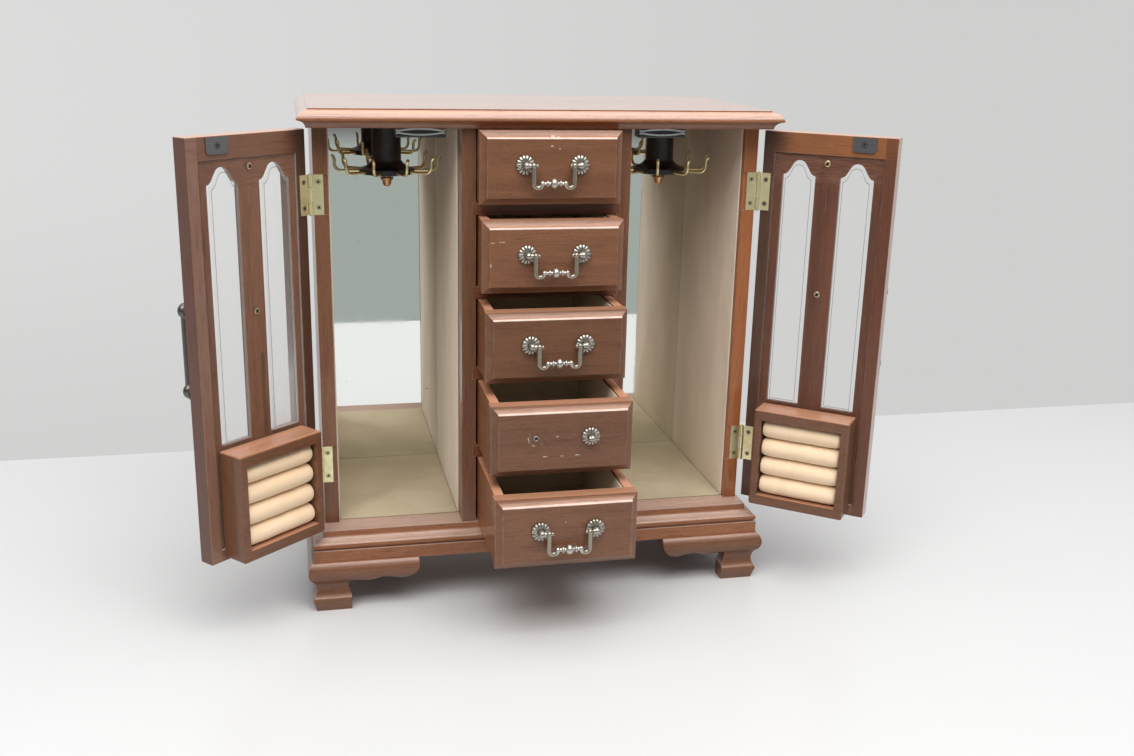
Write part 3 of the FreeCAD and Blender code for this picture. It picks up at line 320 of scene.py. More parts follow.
room = Shader(bpy.data.worlds.new("room"))
bpy.context.scene.world = room.owner
across, depth, height = (room.part(room.node("TexCoord", output="Generated"), axis) for axis in range(3))
left_wall = room.mix(height.rise(*WALL_FOOT), WALL_LOW_LEFT, WALL_LEFT)
wall = room.mix(across.rise(*WALL_SIDES), left_wall, WALL_RIGHT)
front = room.mix(height.rise(*FRONT_LEVEL), ROOM_IN_FRONT, ROOM_ABOVE)
seen = room.mix(depth.rise(*FRONT_TO_WALL), front, wall)
seen = room.mix(across.rise(*WINDOW_SIDE), seen, WINDOW)
straight, glossy, through = (
    room.node("LightPath", output=f"Is {kind} Ray") for kind in ("Camera", "Glossy", "Transmission")
)
soft = room.mix(height.rise(*LIGHT_LEVELS), LOW_LIGHT, HIGH_LIGHT)
colour = room.mix(straight.upper(glossy).upper(through), soft, seen)
room.node("OutputWorld", None, {"Surface": room.node("Background", None, {"Color": colour})})

LAMPS = {
    # name: place, power in watts, width and height, colour
    "overhead_lamp": ((0.05, -0.20, 1.60), 12.0, (1.6, 1.2), (1.0, 0.985, 0.96)),
    "front_lamp": ((-0.15, -1.10, 1.75), 39.0, (2.4, 1.0), (1.0, 0.98, 0.95)),
}
CHEST_MIDDLE = np.array([0.0, 0.0, 0.18])
for name, (spot, power, size, tint) in LAMPS.items():
    lamp = bpy.data.lights.new(name, "AREA")
    lamp.energy = power
    lamp.shape = "RECTANGLE"
    lamp.size, lamp.size_y = size
    lamp.color = tint
    holder = bpy.data.objects.new(name, lamp)
    bpy.context.scene.collection.objects.link(holder)
    away = np.asarray(spot) - CHEST_MIDDLE
    beside = np.cross([0.0, 1.0, 0.0] if abs(away[1]) < away[2] else [0.0, 0.0, 1.0], away)
    axes = [a / np.linalg.norm(a) for a in (beside, np.cross(away, beside), away)]
    holder.matrix_world = Matrix.Translation(spot) @ Matrix(np.column_stack(axes).tolist()).to_4x4()
bpy.context.scene.view_settings.view_transform = "Standard"
print("stage with", len(LAMPS), "lamps")

# %% [markdown]
# The doors stand open at odd angles, so their pieces and patterns are easiest to think of on the closed
# door, square to the chest. A hinge's record gives its axis and how far the door has swung, and turning
# points about that axis takes them from the closed door to the open one and back.


# %% Doors closed and open
def door_turn(side):
    """How far a door has swung from closed, in radians about +Z."""
    joint = JOINTS[f"{side}_door_hinge"]
    return -math.radians(joint["range_deg"][0]) * joint["axis"][2]


def turned(points, side, angle):
    """Points turned about a door's hinge axis."""
    centre = np.array(JOINTS[f"{side}_door_hinge"]["pos_m"])
    cos, sin = math.cos(angle), math.sin(angle)
    rotation = np.array([[cos, -sin, 0.0], [sin, cos, 0.0], [0.0, 0.0, 1.0]])
    return (np.asarray(points) - centre) @ rotation.T + centre


def swung(points, side):
    """From the closed door to the open one."""
    return turned(points, side, door_turn(side))


def closed_box(side, part):
    """Lowest and highest corners of one part of a door, in millimetres, with the door closed."""
    vertices = NODES[f"{side}_door_{part}"].data.vertices
    points = np.empty(len(vertices) * 3)
    vertices.foreach_get("co", points)
    points = turned(points.reshape(-1, 3), side, -door_turn(side)) / MM
    return points.min(axis=0), points.max(axis=0)


def node_box(node):
    """Lowest and highest corners of a node in millimetres."""
    low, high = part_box(node)
    return np.array(low) / MM, np.array(high) / MM


def closed_mapping(side):
    """The turn and shift that a Mapping node needs to read a door's points as if it were closed."""
    return -door_turn(side), tuple(turned(np.zeros(3), side, -door_turn(side)))


for side in SIDES:
    print(side, "door open", round(math.degrees(door_turn(side)), 1), "degrees")

# %% [markdown]
# Mahogany is a reddish brown wood with short dark pores, broad soft bands, and a hard clear lacquer that
# throws back the room. All three run along the board, so the noise is stretched along the grain and tight
# across it. Where the lacquer has rubbed through on an arris the wood shows pale, and the same pale arris
# also carries a painted highlight, strongest where it faces up: the Bevel node's normal leaves the true one
# only near an edge, and that difference is the mask for wear and highlight. What faces up is painted lighter,
# partly as wood faded by light and dust and partly as painted light from above, so the upward part of the
# normal is the mask for it, and the grain still shows through it.

# %% Mahogany
GRAIN = {
    # kind: scales along and across the grain, then detail, roughness and distortion
    "bands": ((5.0, 60.0), 3.0, 0.55, 0.6),
    "ribbons": ((26.0, 420.0), 3.0, 0.6, 0.3),
    "flecks": ((420.0, 1300.0), 2.0, 0.6),
    "pores": ((55.0, 1500.0), 2.0, 0.6),
}
BAND_SHARE, RIBBON_SHARE, FLECK_SHARE = 0.45, 0.25, 0.3
PORE_SHARE, PORE_FADING_AND_LIGHT = 0.45, 0.15
RUB_SCALE, SCUFF_SCALE = 130.0, 38.0
# what faces up is painted lighter in these colours: wood faded by light and dust, and also painted light from
# above
FADED_AND_LIT, FADED_AND_LIT_DARK, FADED_AND_LIT_LIGHT = (0.60, 0.39, 0.31), 0.78, 1.15
TOP_FADED_AND_LIT, BASE_FADED_AND_LIT = (0.72, 0.46, 0.36), (0.72, 0.57, 0.49)
PORE_COLOUR = (0.045, 0.014, 0.008)
# the pale arrises: lacquer rubbed through, and also a painted highlight, strongest on edges that face up
WORN_AND_HIGHLIGHT_COLOUR = (0.52, 0.27, 0.17)
WEAR_AND_HIGHLIGHT_RADIUS = 0.9 * MM
JOINT_LINE = 0.1 * MM
TONES = {
    # name: dark band, light band
    "deep": ((0.115, 0.036, 0.016), (0.215, 0.078, 0.036)),
    "brown": ((0.132, 0.054, 0.027), (0.218, 0.097, 0.050)),
    "warm": ((0.190, 0.066, 0.026), (0.325, 0.128, 0.054)),
    "red": ((0.230, 0.074, 0.026), (0.370, 0.132, 0.048)),
}


def stretched(pair, along):
    """Three scales: the first of the pair along the grain's axis, the second across it."""
    return tuple(pair[0] if axis == along else pair[1] for axis in range(3))


def rails_turned(wood, points, rails):
    """Above and below the given heights, in metres, X and Z change places, as where rails meet stiles."""
    x, y, z = (wood.part(points, axis) for axis in range(3))
    on_rail = z.rise(rails[0] + JOINT_LINE, rails[0]).upper(z.rise(rails[1], rails[1] + JOINT_LINE))
    crossed = wood.node("CombineXYZ", None, {0: z, 1: y, 2: x})
    return wood.node("Mix", {"data_type": "VECTOR"}, {0: on_rail, 4: points, 5: crossed}, 1)


def mahogany(
    name, along, tone, turn=0.0, shift=(0, 0, 0), rails=None, stain=None, marks=None,
    gloss=0.4, wear_and_highlight=1.0, fade_and_light=0.5, faded_and_lit=FADED_AND_LIT, depth=1.0,
):
    """Lacquered wood with its grain along one axis: depth scales its tone, and what faces up is faded and
    painted lighter, as if lit from above.

    stain adds colours of its own before the fading and painted light, and marks adds scratches and painted
    arris highlights after it.
    """
    wood, points = new_finish("mahogany_" + name, turn, shift)
    grain = rails_turned(wood, points, rails) if rails else points
    bands, ribbons, flecks, pores = (
        wood.noise(grain, stretched(pair, along), *rest) for pair, *rest in GRAIN.values()
    )
    open_pores = pores.rise(0.52, 0.74)
    dark, light = ([c * depth for c in band] for band in TONES[tone])
    figure = bands.rise(0.25, 0.75) * BAND_SHARE + ribbons.rise(0.3, 0.7) * RIBBON_SHARE
    figure = figure + flecks.rise(0.35, 0.65) * FLECK_SHARE
    colour = wood.mix(figure, dark, light)
    if stain:
        colour = stain(wood, colour)
    bevel = wood.node("Bevel", {"samples": 4}, {"Radius": WEAR_AND_HIGHLIGHT_RADIUS})
    flat = wood.node("NewGeometry", output="Normal")
    lean = 1.0 - wood.node("VectorMath", {"operation": "DOT_PRODUCT"}, {0: bevel, 1: flat}, 1)
    rubbed = wood.noise(points, RUB_SCALE, 3.0).rise(0.36, 0.66)
    upward = wood.part(flat, 2).rise(0.25, 0.95)
    # the arrises are paler: wear, and also a painted highlight that is strongest where they face up
    worn_and_highlit = lean.rise(0.015, 0.16) * (rubbed * 0.6 + upward * 0.4) * (0.75 * wear_and_highlight)
    pale = wood.mix(figure, [c * FADED_AND_LIT_DARK for c in faded_and_lit], [min(1.0, c * FADED_AND_LIT_LIGHT) for c in faded_and_lit])
    # what faces up is paler: faded wood, and also painted light from above
    colour = wood.mix(upward * fade_and_light, colour, pale)
    colour = wood.mix(open_pores * (PORE_SHARE - upward * PORE_FADING_AND_LIGHT), colour, PORE_COLOUR)
    colour = wood.mix(worn_and_highlit, colour, WORN_AND_HIGHLIGHT_COLOUR)
    scuffed = wood.noise(points, SCUFF_SCALE, 4.0).rise(0.5, 0.75)
    if marks:
        colour = marks(wood, colour)
    return wood.show(
        Base_Color=colour,
        Roughness=0.34 + open_pores * 0.14 + scuffed * 0.10 + worn_and_highlit * 0.2,
        Specular_IOR_Level=0.25,
        Coat_Weight=gloss,
        Coat_Roughness=0.10,
        Normal=wood.bump(1.0 - open_pores, 0.12 * MM, 0.35),
    )


def both(ending):
    """The names of a node's left and right kind."""
    return [f"{side}_{ending}" for side in SIDES]


def dress(finish, *nodes):
    """Gives CAD nodes their finish."""
    for node in nodes:
        NODES[node].data.materials.clear()
        NODES[node].data.materials.append(finish)


ALONG_X, ALONG_Y, ALONG_Z = range(3)
# the up-facing faces of these boards are painted lighter, as faded wood and as painted light from above
top = mahogany("top", ALONG_X, "warm", shift=(0.3, 0, 0), gloss=1.0, fade_and_light=0.8, faded_and_lit=TOP_FADED_AND_LIT)
dress(top, "top_board")
dress(mahogany("base", ALONG_X, "warm", faded_and_lit=BASE_FADED_AND_LIT), "base_board", "base_frame")
feet = [f"{end}_{side}_foot" for end in ("front", "back") for side in SIDES]
dress(mahogany("feet", ALONG_X, "brown", shift=(0.1, 0.2, 0.4), depth=0.95), *feet)
dress(mahogany("uprights", ALONG_Z, "brown"), *both("partition"))
dress(mahogany("left_side", ALONG_Z, "brown", shift=(0.2, 0, 0)), "left_side")
# the right side's redder tone is painted light: the warm light that falls on its front edge from the front
# right
dress(mahogany("right_side", ALONG_Z, "red", shift=(0.5, 0, 0)), "right_side")
dress(mahogany("back", ALONG_Z, "brown", shift=(0, 0.7, 0), gloss=0.2), "back_panel")
dress(mahogany("dividers", ALONG_X, "deep"), "drawer_dividers")
print(len(bpy.data.materials), "finishes so far")

# %% [markdown]
# A drawer's face has its grain along its length, so that the five faces match. Years of use have left pale
# scratches and, on the fourth face, the ghost of a lost rosette. A painted highlight lies along the arris of
# the raised field, strongest at its head, where it faces the light above. Each mark is a soft-edged dash,
# line or ring, worked out from its distance to a line or to a circle in the drawer's own face.

# %% Drawer faces and boxes
DASHES = {
    # drawer: rows of middle X, middle Z above the foot of the face, half length, half thickness, all in mm
    1: [(-0.5, 40.2, 1.2, 0.45), (4.8, 38.2, 0.5, 0.4), (0.4, 46.3, 1.6, 0.9), (4.0, 45.9, 0.9, 0.6)],
    2: [(-43.0, 35.8, 1.5, 0.3), (-36.6, 36.3, 2.2, 0.35), (-44.2, 20.2, 0.5, 1.2)],
    4: [(-12.5, 14.1, 1.7, 0.4), (-0.8, 14.1, 1.1, 0.4), (10.2, 14.3, 2.2, 0.4), (-4.4, 28.4, 1.0, 0.35)],
    5: [(-1.5, 33.0, 0.6, 0.4)],
}
GHOST = {4: (-19.05, 27.5, 5.4, 0.5)}
MARK_COLOUR = (0.55, 0.45, 0.40)
# the colour of the painted highlight along the field's arris
ARRIS_HIGHLIGHT = (0.86, 0.66, 0.58)
FACE_HALF, FACE_HEIGHT, FIELD_EDGE = 49.7, 50.0, 4.75
FACE_DEPTHS = {1: 1.04, 2: 1.10, 3: 0.88, 4: 0.86, 5: 1.0}
# the up-facing rims of the drawers and ring boxes: bare wood, and also painted light from above
BARE_AND_LIT_RIM = (0.66, 0.33, 0.20)


def arris_highlights(wood, points, x, z):
    """How strongly the painted highlight lies on the arris: lines at the field's head and sides, and at the
    face's own edges.
    """
    field_half, field_head = FACE_HALF - FIELD_EDGE, FACE_HEIGHT - FIELD_EDGE
    broken = wood.noise(points, 160.0, 3.0).rise(0.30, 0.62)
    across = abs(x)
    head = abs(z - field_head).rise(0.75, 0.25) * across.rise(field_half + 0.5, field_half)
    sides = abs(across - field_half).rise(0.45, 0.12) * z.rise(field_head + 0.4, field_head)
    sides = sides * z.rise(4.0, 5.0)
    rim = abs(across - FACE_HALF).rise(0.8, 0.2)
    return head * (0.65 + broken * 0.2) + (sides * 0.10 + rim * 0.06) * broken


def face_marks(number):
    """A function that lays one drawer's painted arris highlight, its dashes and its ghost ring over the
    colour of its wood.
    """
    foot = node_box(f"drawer_{number}_front")[0][2]

    def lay(wood, colour):
        points = wood.place()
        x = wood.part(points, 0) / MM
        z = wood.part(points, 2) / MM - foot
        ragged = wood.noise(points, 900.0, 2.0).rise(0.30, 0.55)
        # a painted highlight along the field's arris
        colour = wood.mix(arris_highlights(wood, points, x, z), colour, ARRIS_HIGHLIGHT)
        for middle_x, middle_z, half_length, half_thick in DASHES.get(number, []):
            across = abs(z - middle_z).rise(half_thick * 1.3, half_thick * 0.5)
            dash = abs(x - middle_x).rise(half_length, half_length * 0.7) * across
            colour = wood.mix(dash * ragged * 0.9, colour, MARK_COLOUR)
        if number in GHOST:
            ghost_x, ghost_z, radius, half_thick = GHOST[number]
            reach = ((x - ghost_x) * (x - ghost_x) + (z - ghost_z) * (z - ghost_z)).power(0.5)
            ring = abs(reach - radius).rise(half_thick * 1.6, half_thick * 0.4)
            broken = wood.noise(points, 260.0, 2.0).rise(0.42, 0.60)
            low_left = (x - ghost_x + (z - ghost_z)).rise(3.0, -2.0)
            colour = wood.mix(ring * ragged * broken * low_left * 0.6, colour, MARK_COLOUR)
        return colour

    return lay


for number in DRAWERS:
    seed = (0.17 * number, 0.0, 0.0)
    face = mahogany(
        f"face_{number}", ALONG_X, "brown", shift=seed, marks=face_marks(number),
        depth=FACE_DEPTHS[number], faded_and_lit=BARE_AND_LIT_RIM,
    )
    dress(face, f"drawer_{number}_front")
    box = mahogany(
        f"box_{number}", ALONG_Y, "warm", shift=seed, gloss=0.25, wear_and_highlight=1.6, fade_and_light=0.85, faded_and_lit=BARE_AND_LIT_RIM
    )
    dress(box, f"drawer_{number}_box")
print("drawers dressed")

# %% [markdown]
# Each door is a frame of stiles and rails round a fretted panel, with a box of ring rolls screwed to it.
# The patterns are read on the closed door, so the grain keeps to the boards however far the door swings.
# The boards carry painted light and shade: the hinge stiles are painted nearly black as shade, the top rails
# and free stiles carry painted reflections, orange on the right door's top rail and deep red on its free
# stile, and the free edges carry painted light on the right door and shade on the left. The edges of the
# holes are painted an even brown, as shade in the reveals.

# %% Doors
# painted light and shade on the door boards: shade on the hinge stiles, reflections on the top rails and free
# stiles, light on the right door's free edge and shade on the left's, and shade in the reveals
STILE_SHADE = (0.040, 0.022, 0.017)
RAIL_REFLECTIONS = {"left": (0.150, 0.062, 0.036), "right": (0.330, 0.120, 0.040)}
FREE_STILE_REFLECTIONS = {"left": (0.255, 0.145, 0.105), "right": (0.095, 0.026, 0.016)}
FREE_EDGE_LIGHT_AND_SHADE = {"left": (0.100, 0.034, 0.020), "right": (0.50, 0.36, 0.30)}
REVEAL_SHADE = (0.150, 0.072, 0.048)
# the first colour is for the doors' up-facing edges: faded wood, and also painted light from above
DOOR_EDGE_FADED_AND_LIT, WAVE_COLOUR = (0.66, 0.44, 0.35), (0.34, 0.17, 0.11)
STREAKS, WAVES = (60.0, 60.0, 8.0), (70.0, 70.0, 420.0)
DOOR_STILE, LEDGE, HOLE_BLEND = 8.5, 4.0, 0.6
WAVES_BEGIN, WAVES_FULL = 24.0, 16.0
SAWN_NEAR, SAWN_FAR = 0.1, 0.4


def door_boards(side):
    """A function that paints light and shade on a door's stiles and top rail, and shade on the edges of its
    hole.
    """
    low, high = closed_box(side, "clear_sheet")
    outer = closed_box(side, "frame")
    middle, half = (low + high) / 2, (high - low) / 2 - LEDGE

    def lay(wood, colour):
        closed = wood.place(*closed_mapping(side))
        x, z = (wood.part(closed, axis) / MM for axis in (0, 2))
        if side == "left":
            from_hinge, from_free = x - outer[0][0], outer[1][0] - x
        else:
            from_hinge, from_free = outer[1][0] - x, x - outer[0][0]
        streak = wood.noise(closed, STREAKS, 3.0).rise(0.3, 0.7)
        # painted reflections on the top rail and free stile, painted light or shade on the free edge by door,
        # painted shade on the hinge stile
        rail = z.rise(high[2] - 0.1, high[2] + 0.1) * from_hinge.rise(DOOR_STILE, 3.5 * DOOR_STILE)
        colour = wood.mix(rail * (0.45 + streak * 0.3), colour, RAIL_REFLECTIONS[side])
        free = from_free.rise(DOOR_STILE + 0.2, DOOR_STILE - 0.2)
        colour = wood.mix(free * 0.55, colour, FREE_STILE_REFLECTIONS[side])
        colour = wood.mix(from_free.rise(0.25, 0.05) * 0.85, colour, FREE_EDGE_LIGHT_AND_SHADE[side])
        colour = wood.mix(from_hinge.rise(2.4 * DOOR_STILE, 0.5 * DOOR_STILE) * 0.7, colour, STILE_SHADE)
        # painted shade in the reveals round the hole
        inside = abs(x - middle[0]).rise(half[0] + HOLE_BLEND, half[0])
        inside = inside * abs(z - middle[2]).rise(half[2] + HOLE_BLEND, half[2])
        return wood.mix(inside, colour, REVEAL_SHADE)

    return lay


def fret_figure(side):
    """A function that lays pale waves across a fret's head and paints shade on its sawn edges, not its faces.
    """
    low, high = closed_box(side, "clear_sheet")
    outside = closed_box(side, "fret_panel")[0][1]

    def lay(wood, colour):
        closed = wood.place(*closed_mapping(side))
        y, z = (wood.part(closed, axis) / MM for axis in (1, 2))
        waves = wood.noise(closed, WAVES, 3.0, 0.5, 1.2).rise(0.40, 0.65)
        head = z.rise(high[2] - WAVES_BEGIN, high[2] - WAVES_FULL)
        colour = wood.mix(head * waves * 0.5, colour, WAVE_COLOUR)
        # painted shade on the sawn edges in the reveals
        sawn = y.rise(low[1] - SAWN_NEAR, low[1] - SAWN_FAR)
        sawn = sawn * y.rise(outside + SAWN_NEAR, outside + SAWN_FAR)
        return wood.mix(sawn, colour, REVEAL_SHADE)

    return lay


for side in SIDES:
    door, closing = f"{side}_door", closed_mapping(side)
    low, high = closed_box(side, "clear_sheet")
    rails = (low[2] * MM, high[2] * MM)
    boards = mahogany(door, ALONG_Z, "brown", *closing, rails, door_boards(side), fade_and_light=0.8, faded_and_lit=DOOR_EDGE_FADED_AND_LIT)
    dress(boards, f"{door}_frame")
    ring_box = mahogany(f"{side}_ring_box", ALONG_X, "brown", *closing, depth=0.9, fade_and_light=0.6, faded_and_lit=BARE_AND_LIT_RIM)
    dress(ring_box, f"{door}_ring_box")
print("doors dressed")

# %% [markdown]
# The metals differ in how they age. Brass goes brown in patches and keeps its shine where it is handled.
# Antiqued pewter is blackened and then rubbed, so it is pale on the ridges and nearly black in the hollows:
# Ambient Occlusion finds the hollows of the cast shapes, and the fluted pieces carry their own measure of
# depth in an attribute called recess.

# %% Metals, plastic and glass
CORNER_REACH, HOLLOW_REACH = 1.6 * MM, 1.4 * MM
RUBBED, BAR_HALF = (0.54, 0.515, 0.475), 9.5
DUST_COLOUR = (0.16, 0.155, 0.15)
SILVER, SPECK_COLOUR = (0.93, 0.955, 0.93), (0.25, 0.25, 0.22)


def brass(name, colour, tarnish):
    """Polished brass with brown patches of tarnish, fine scratches, painted shade in the corners, and darker
    recesses.
    """
    metal, points = new_finish(name)
    # painted shade in corners and crevices
    corner = metal.openness(CORNER_REACH).rise(0.80, 0.30)
    patch = metal.noise(points, 260.0, 4.0, 0.6).rise(0.42, 0.72)
    hollow = metal.attribute("recess")
    shade = metal.mix(patch * 0.3, colour, tarnish)
    scratch = metal.noise(points, (900.0, 900.0, 5200.0), 2.0)
    return metal.show(
        Base_Color=metal.mix(hollow.upper(corner * 0.65), shade, [c * 0.12 for c in tarnish]),
        Metallic=1.0,
        Roughness=0.28 + patch * 0.18 + scratch * 0.08,
        Normal=metal.bump(scratch, 0.02 * MM, 0.2),
    )


def pewter(name, ridge, hollow_colour, roughness=0.30, bar=0.0):
    """Antiqued pewter: rubbed pale on what stands out, dark in the recesses, a little uneven.

    bar is half the length, in mm, of a turned bar in the middle that hands have rubbed brighter.
    """
    metal, points = new_finish(name)
    open_sky = metal.openness(HOLLOW_REACH)
    depth = metal.attribute("recess")
    rubbed = metal.noise(points, 420.0, 4.0, 0.6)
    dark = (open_sky.rise(0.85, 0.25) * 0.9 + depth * 0.75 + rubbed.rise(0.45, 0.85) * 0.35).rise(0.0, 1.0)
    pale = metal.mix(abs(metal.part(points, 0) / MM).rise(bar, bar - 1.0), ridge, RUBBED) if bar else ridge
    return metal.show(
        Base_Color=metal.mix(dark, pale, hollow_colour),
        Metallic=1.0,
        Roughness=roughness + dark * 0.25 + rubbed * 0.10,
        Normal=metal.bump(rubbed, 0.08 * MM, 0.4),
    )


def black(name, colour, roughness, hollow_colour=(0.30, 0.30, 0.31)):
    """Plastic or enamelled steel with a breath of dust and some scuffs, and its own colour in the hollows."""
    coat, points = new_finish(name)
    dust = coat.noise(points, 90.0, 4.0, 0.6).rise(0.45, 0.85)
    speck = coat.noise(points, 1400.0, 2.0).rise(0.62, 0.75)
    hollow = coat.attribute("recess")
    shade = coat.mix(dust * 0.25 + speck * 0.12, colour, DUST_COLOUR)
    return coat.show(
        Base_Color=coat.mix(hollow, shade, hollow_colour),
        Roughness=roughness + dust * 0.18,
        Coat_Weight=0.3,
        Coat_Roughness=0.15,
    )


def silvered(name):
    """Mirror glass: a clean silver, very slightly green, with faint smears and a few dark specks."""
    glass, points = new_finish(name)
    smear = glass.noise(points, (30.0, 30.0, 11.0), 4.0, 0.6).rise(0.45, 0.8)
    speck = glass.noise(points, 480.0, 1.0).rise(0.79, 0.83)
    return glass.show(
        Base_Color=glass.mix(speck, SILVER, SPECK_COLOUR),
        Metallic=1.0,
        Roughness=0.012 + smear * 0.05,
    )


def clear_sheet(name, haze, colour):
    """A thin clear sheet: it lets light straight through, and adds a mirror's share that grows at a slant."""
    sheet, points = new_finish(name)
    smear = sheet.noise(points, (45.0, 45.0, 16.0), 4.0, 0.65).rise(0.48, 0.85)
    gloss = sheet.node(
        "BsdfPrincipled", None, {"Base Color": solid(colour), "Roughness": 0.08, "Specular IOR Level": 0.5}
    )
    share = sheet.node("Fresnel", None, {"IOR": 1.45}) * 0.5 + smear * 0.02 + haze
    return sheet.show(sheet.node("MixShader", None, {0: share, 1: sheet.node("BsdfTransparent"), 2: gloss}))


BRASS = brass("brass", (1.0, 0.92, 0.56), (0.62, 0.48, 0.22))
OLD_BRASS = brass("old_brass", (0.66, 0.53, 0.33), (0.30, 0.20, 0.10))
COPPERED = brass("coppered_brass", (0.72, 0.45, 0.24), (0.22, 0.11, 0.05))
STEEL = brass("bright_steel", (0.72, 0.73, 0.73), (0.40, 0.39, 0.37))
PEWTER = pewter("antiqued_pewter", (0.41, 0.38, 0.335), (0.035, 0.030, 0.025))
BAIL_PEWTER = pewter("handled_pewter", (0.36, 0.325, 0.265), (0.045, 0.038, 0.030), 0.34, BAR_HALF)
# the door pulls' pewter: the same antiqued finish, painted much darker as the shade the pulls stand in
SHADED_PEWTER = pewter("shaded_pewter", (0.16, 0.15, 0.14), (0.016, 0.015, 0.014))
BLACK_PLASTIC = black("black_plastic", (0.018, 0.018, 0.020), 0.28)
GREY_STEEL = black("grey_enamel", (0.075, 0.075, 0.08), 0.30, (0.012, 0.012, 0.012))
dress(BRASS, "case_hinge_leaves", "hinge_pins", *both("door_hinge_leaves"), *both("carousel_hooks"))
dress(COPPERED, "carousel_posts")
dress(BLACK_PLASTIC, "catches", *both("carousel_hub"))
dress(GREY_STEEL, *both("door_strike"))
dress(SHADED_PEWTER, *both("door_pull"))
dress(PEWTER, *(node for node in NODES if node.endswith("_rosettes")))
dress(BAIL_PEWTER, *(node for node in NODES if node.endswith("_bail")))
dress(silvered("silvered_glass"), "mirrors")
dress(clear_sheet("clear_sheet", 0.0, (0.9, 0.9, 0.9)), *both("door_clear_sheet"))
print("metals, plastic and glass dressed")

# %% [markdown]
# Velvet is a short dense pile. It is pale where the pile leans away and deep where it is brushed towards
# the eye, and at a slant its tips catch the light, which is what sheen is for. Four velvets are used: greyed
# beige on the walls of the bays and a yellower one on their floors, tan on the ring rolls, and olive inside
# the drawers.

# %% Velvets


def velvet(name, colour, brushed, edge=None):
    """Short pile: brushed patches, grain of single tufts, and sheen; edge is the colour of a cut rim."""
    cloth, points = new_finish(name)
    lean = cloth.noise(points, (22.0, 22.0, 9.0), 4.0, 0.6, 0.8).rise(0.32, 0.70)
    tuft = cloth.noise(points, 2600.0, 2.0, 0.6)
    shade = cloth.mix(lean * 0.8 + tuft * 0.2, colour, brushed)
    if edge:
        shade = cloth.mix(cloth.attribute("rim") * 0.8, shade, edge)
    return cloth.show(
        Base_Color=shade,
        Roughness=0.92 - tuft * 0.08,
        Sheen_Weight=0.35,
        Sheen_Roughness=0.45,
        Sheen_Tint=solid([min(1.0, c * 1.6) for c in brushed]),
        Normal=cloth.bump(tuft + lean * 0.6, 0.14 * MM, 0.5),
    )


BEIGE_VELVET = velvet("beige_velvet", (0.71, 0.59, 0.465), (0.82, 0.70, 0.565))
FLOOR_VELVET = velvet("floor_velvet", (0.41, 0.345, 0.23), (0.50, 0.43, 0.30))
TAN_VELVET = velvet("tan_velvet", (0.83, 0.615, 0.41), (0.91, 0.71, 0.50))
OLIVE_VELVET = velvet("olive_velvet", (0.52, 0.42, 0.29), (0.66, 0.55, 0.40), (0.82, 0.72, 0.55))
print("velvets ready")

# %% [markdown]
# The bays are lined with cards covered in velvet: one against each wall and one on the floor. A card is a
# stack of rounded rectangles that step in at both faces, so its edges are soft, as cloth turned over a card
# is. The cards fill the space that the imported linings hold, a hair inside it.

# %% Bay linings
CARD_THICK = 1.2
CARD_EDGE = 0.45
CARD_EASE, CARD_SEAM = 0.06, 0.30


def card_levels(thick, edge):
    """Levels of a card: pole, soft lower arris, soft upper arris, pole."""
    quarter = np.linspace(0, math.pi / 2, 5)
    foot = [(edge * (1 - math.sin(a)), edge * (1 - math.cos(a))) for a in quarter]
    head = [(inset, thick - height) for inset, height in reversed(foot)]
    return [(None, 0.0)] + foot + head + [(None, thick)]


def card(low, high, order):
    """A velvet card between two corners, in millimetres; the last axis of order is its thickness."""
    ease = np.full(3, CARD_SEAM)
    ease[order[2]] = CARD_EASE
    low, high = np.asarray(low) + ease, np.asarray(high) - ease
    size = (high - low)[list(order)]
    centre = (low + high) / 2
    centre[order[2]] = low[order[2]]
    levels = card_levels(size[2], CARD_EDGE)
    return ring_stack(centre, size[0] / 2, size[1] / 2, 1.5 * CARD_EDGE, levels, order) * MM


low, high = node_box("bay_linings")
wall = abs(node_box("left_side")[1][0])
cheek = abs(node_box("left_partition")[0][0])
wall_cards, floor_cards = [], []
for sign in SIDES.values():
    for near, far in ((wall - CARD_THICK, wall), (cheek, cheek + CARD_THICK)):
        ends = sorted((sign * near, sign * far))
        wall_cards.append(card((ends[0], low[1], low[2]), (ends[1], high[1], high[2]), (1, 2, 0)))
    ends = sorted((sign * (wall - CARD_THICK), sign * (cheek + CARD_THICK)))
    floor_cards.append(card((ends[0], low[1], low[2]), (ends[1], high[1], low[2] + CARD_THICK), (0, 1, 2)))
lining = surface_piece("bay_lining_cards", wall_cards, BEIGE_VELVET, crease=60.0)
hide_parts("bay_linings")
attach(lining, "case")
floor = surface_piece("bay_floor_cards", floor_cards, FLOOR_VELVET, crease=60.0)
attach(floor, "case")
print(len(wall_cards) + len(floor_cards), "lining cards")

# %% [markdown]
# Inside each drawer lies a velvet tray: outside wall, soft pale rim, inside wall and floor are one stack of
# rings that closes to a pole below and above. The rim's attribute lets the cut edge show paler.

# %% Drawer trays
TRAY_WALL, TRAY_FLOOR, TRAY_CORNER, TRAY_RIM = 0.9, 1.0, 2.0, 0.7
TRAY_DROP, TRAY_EASE = 1.2, 0.1
BOX_WALL, BOX_BOTTOM = 6.0, 3.0

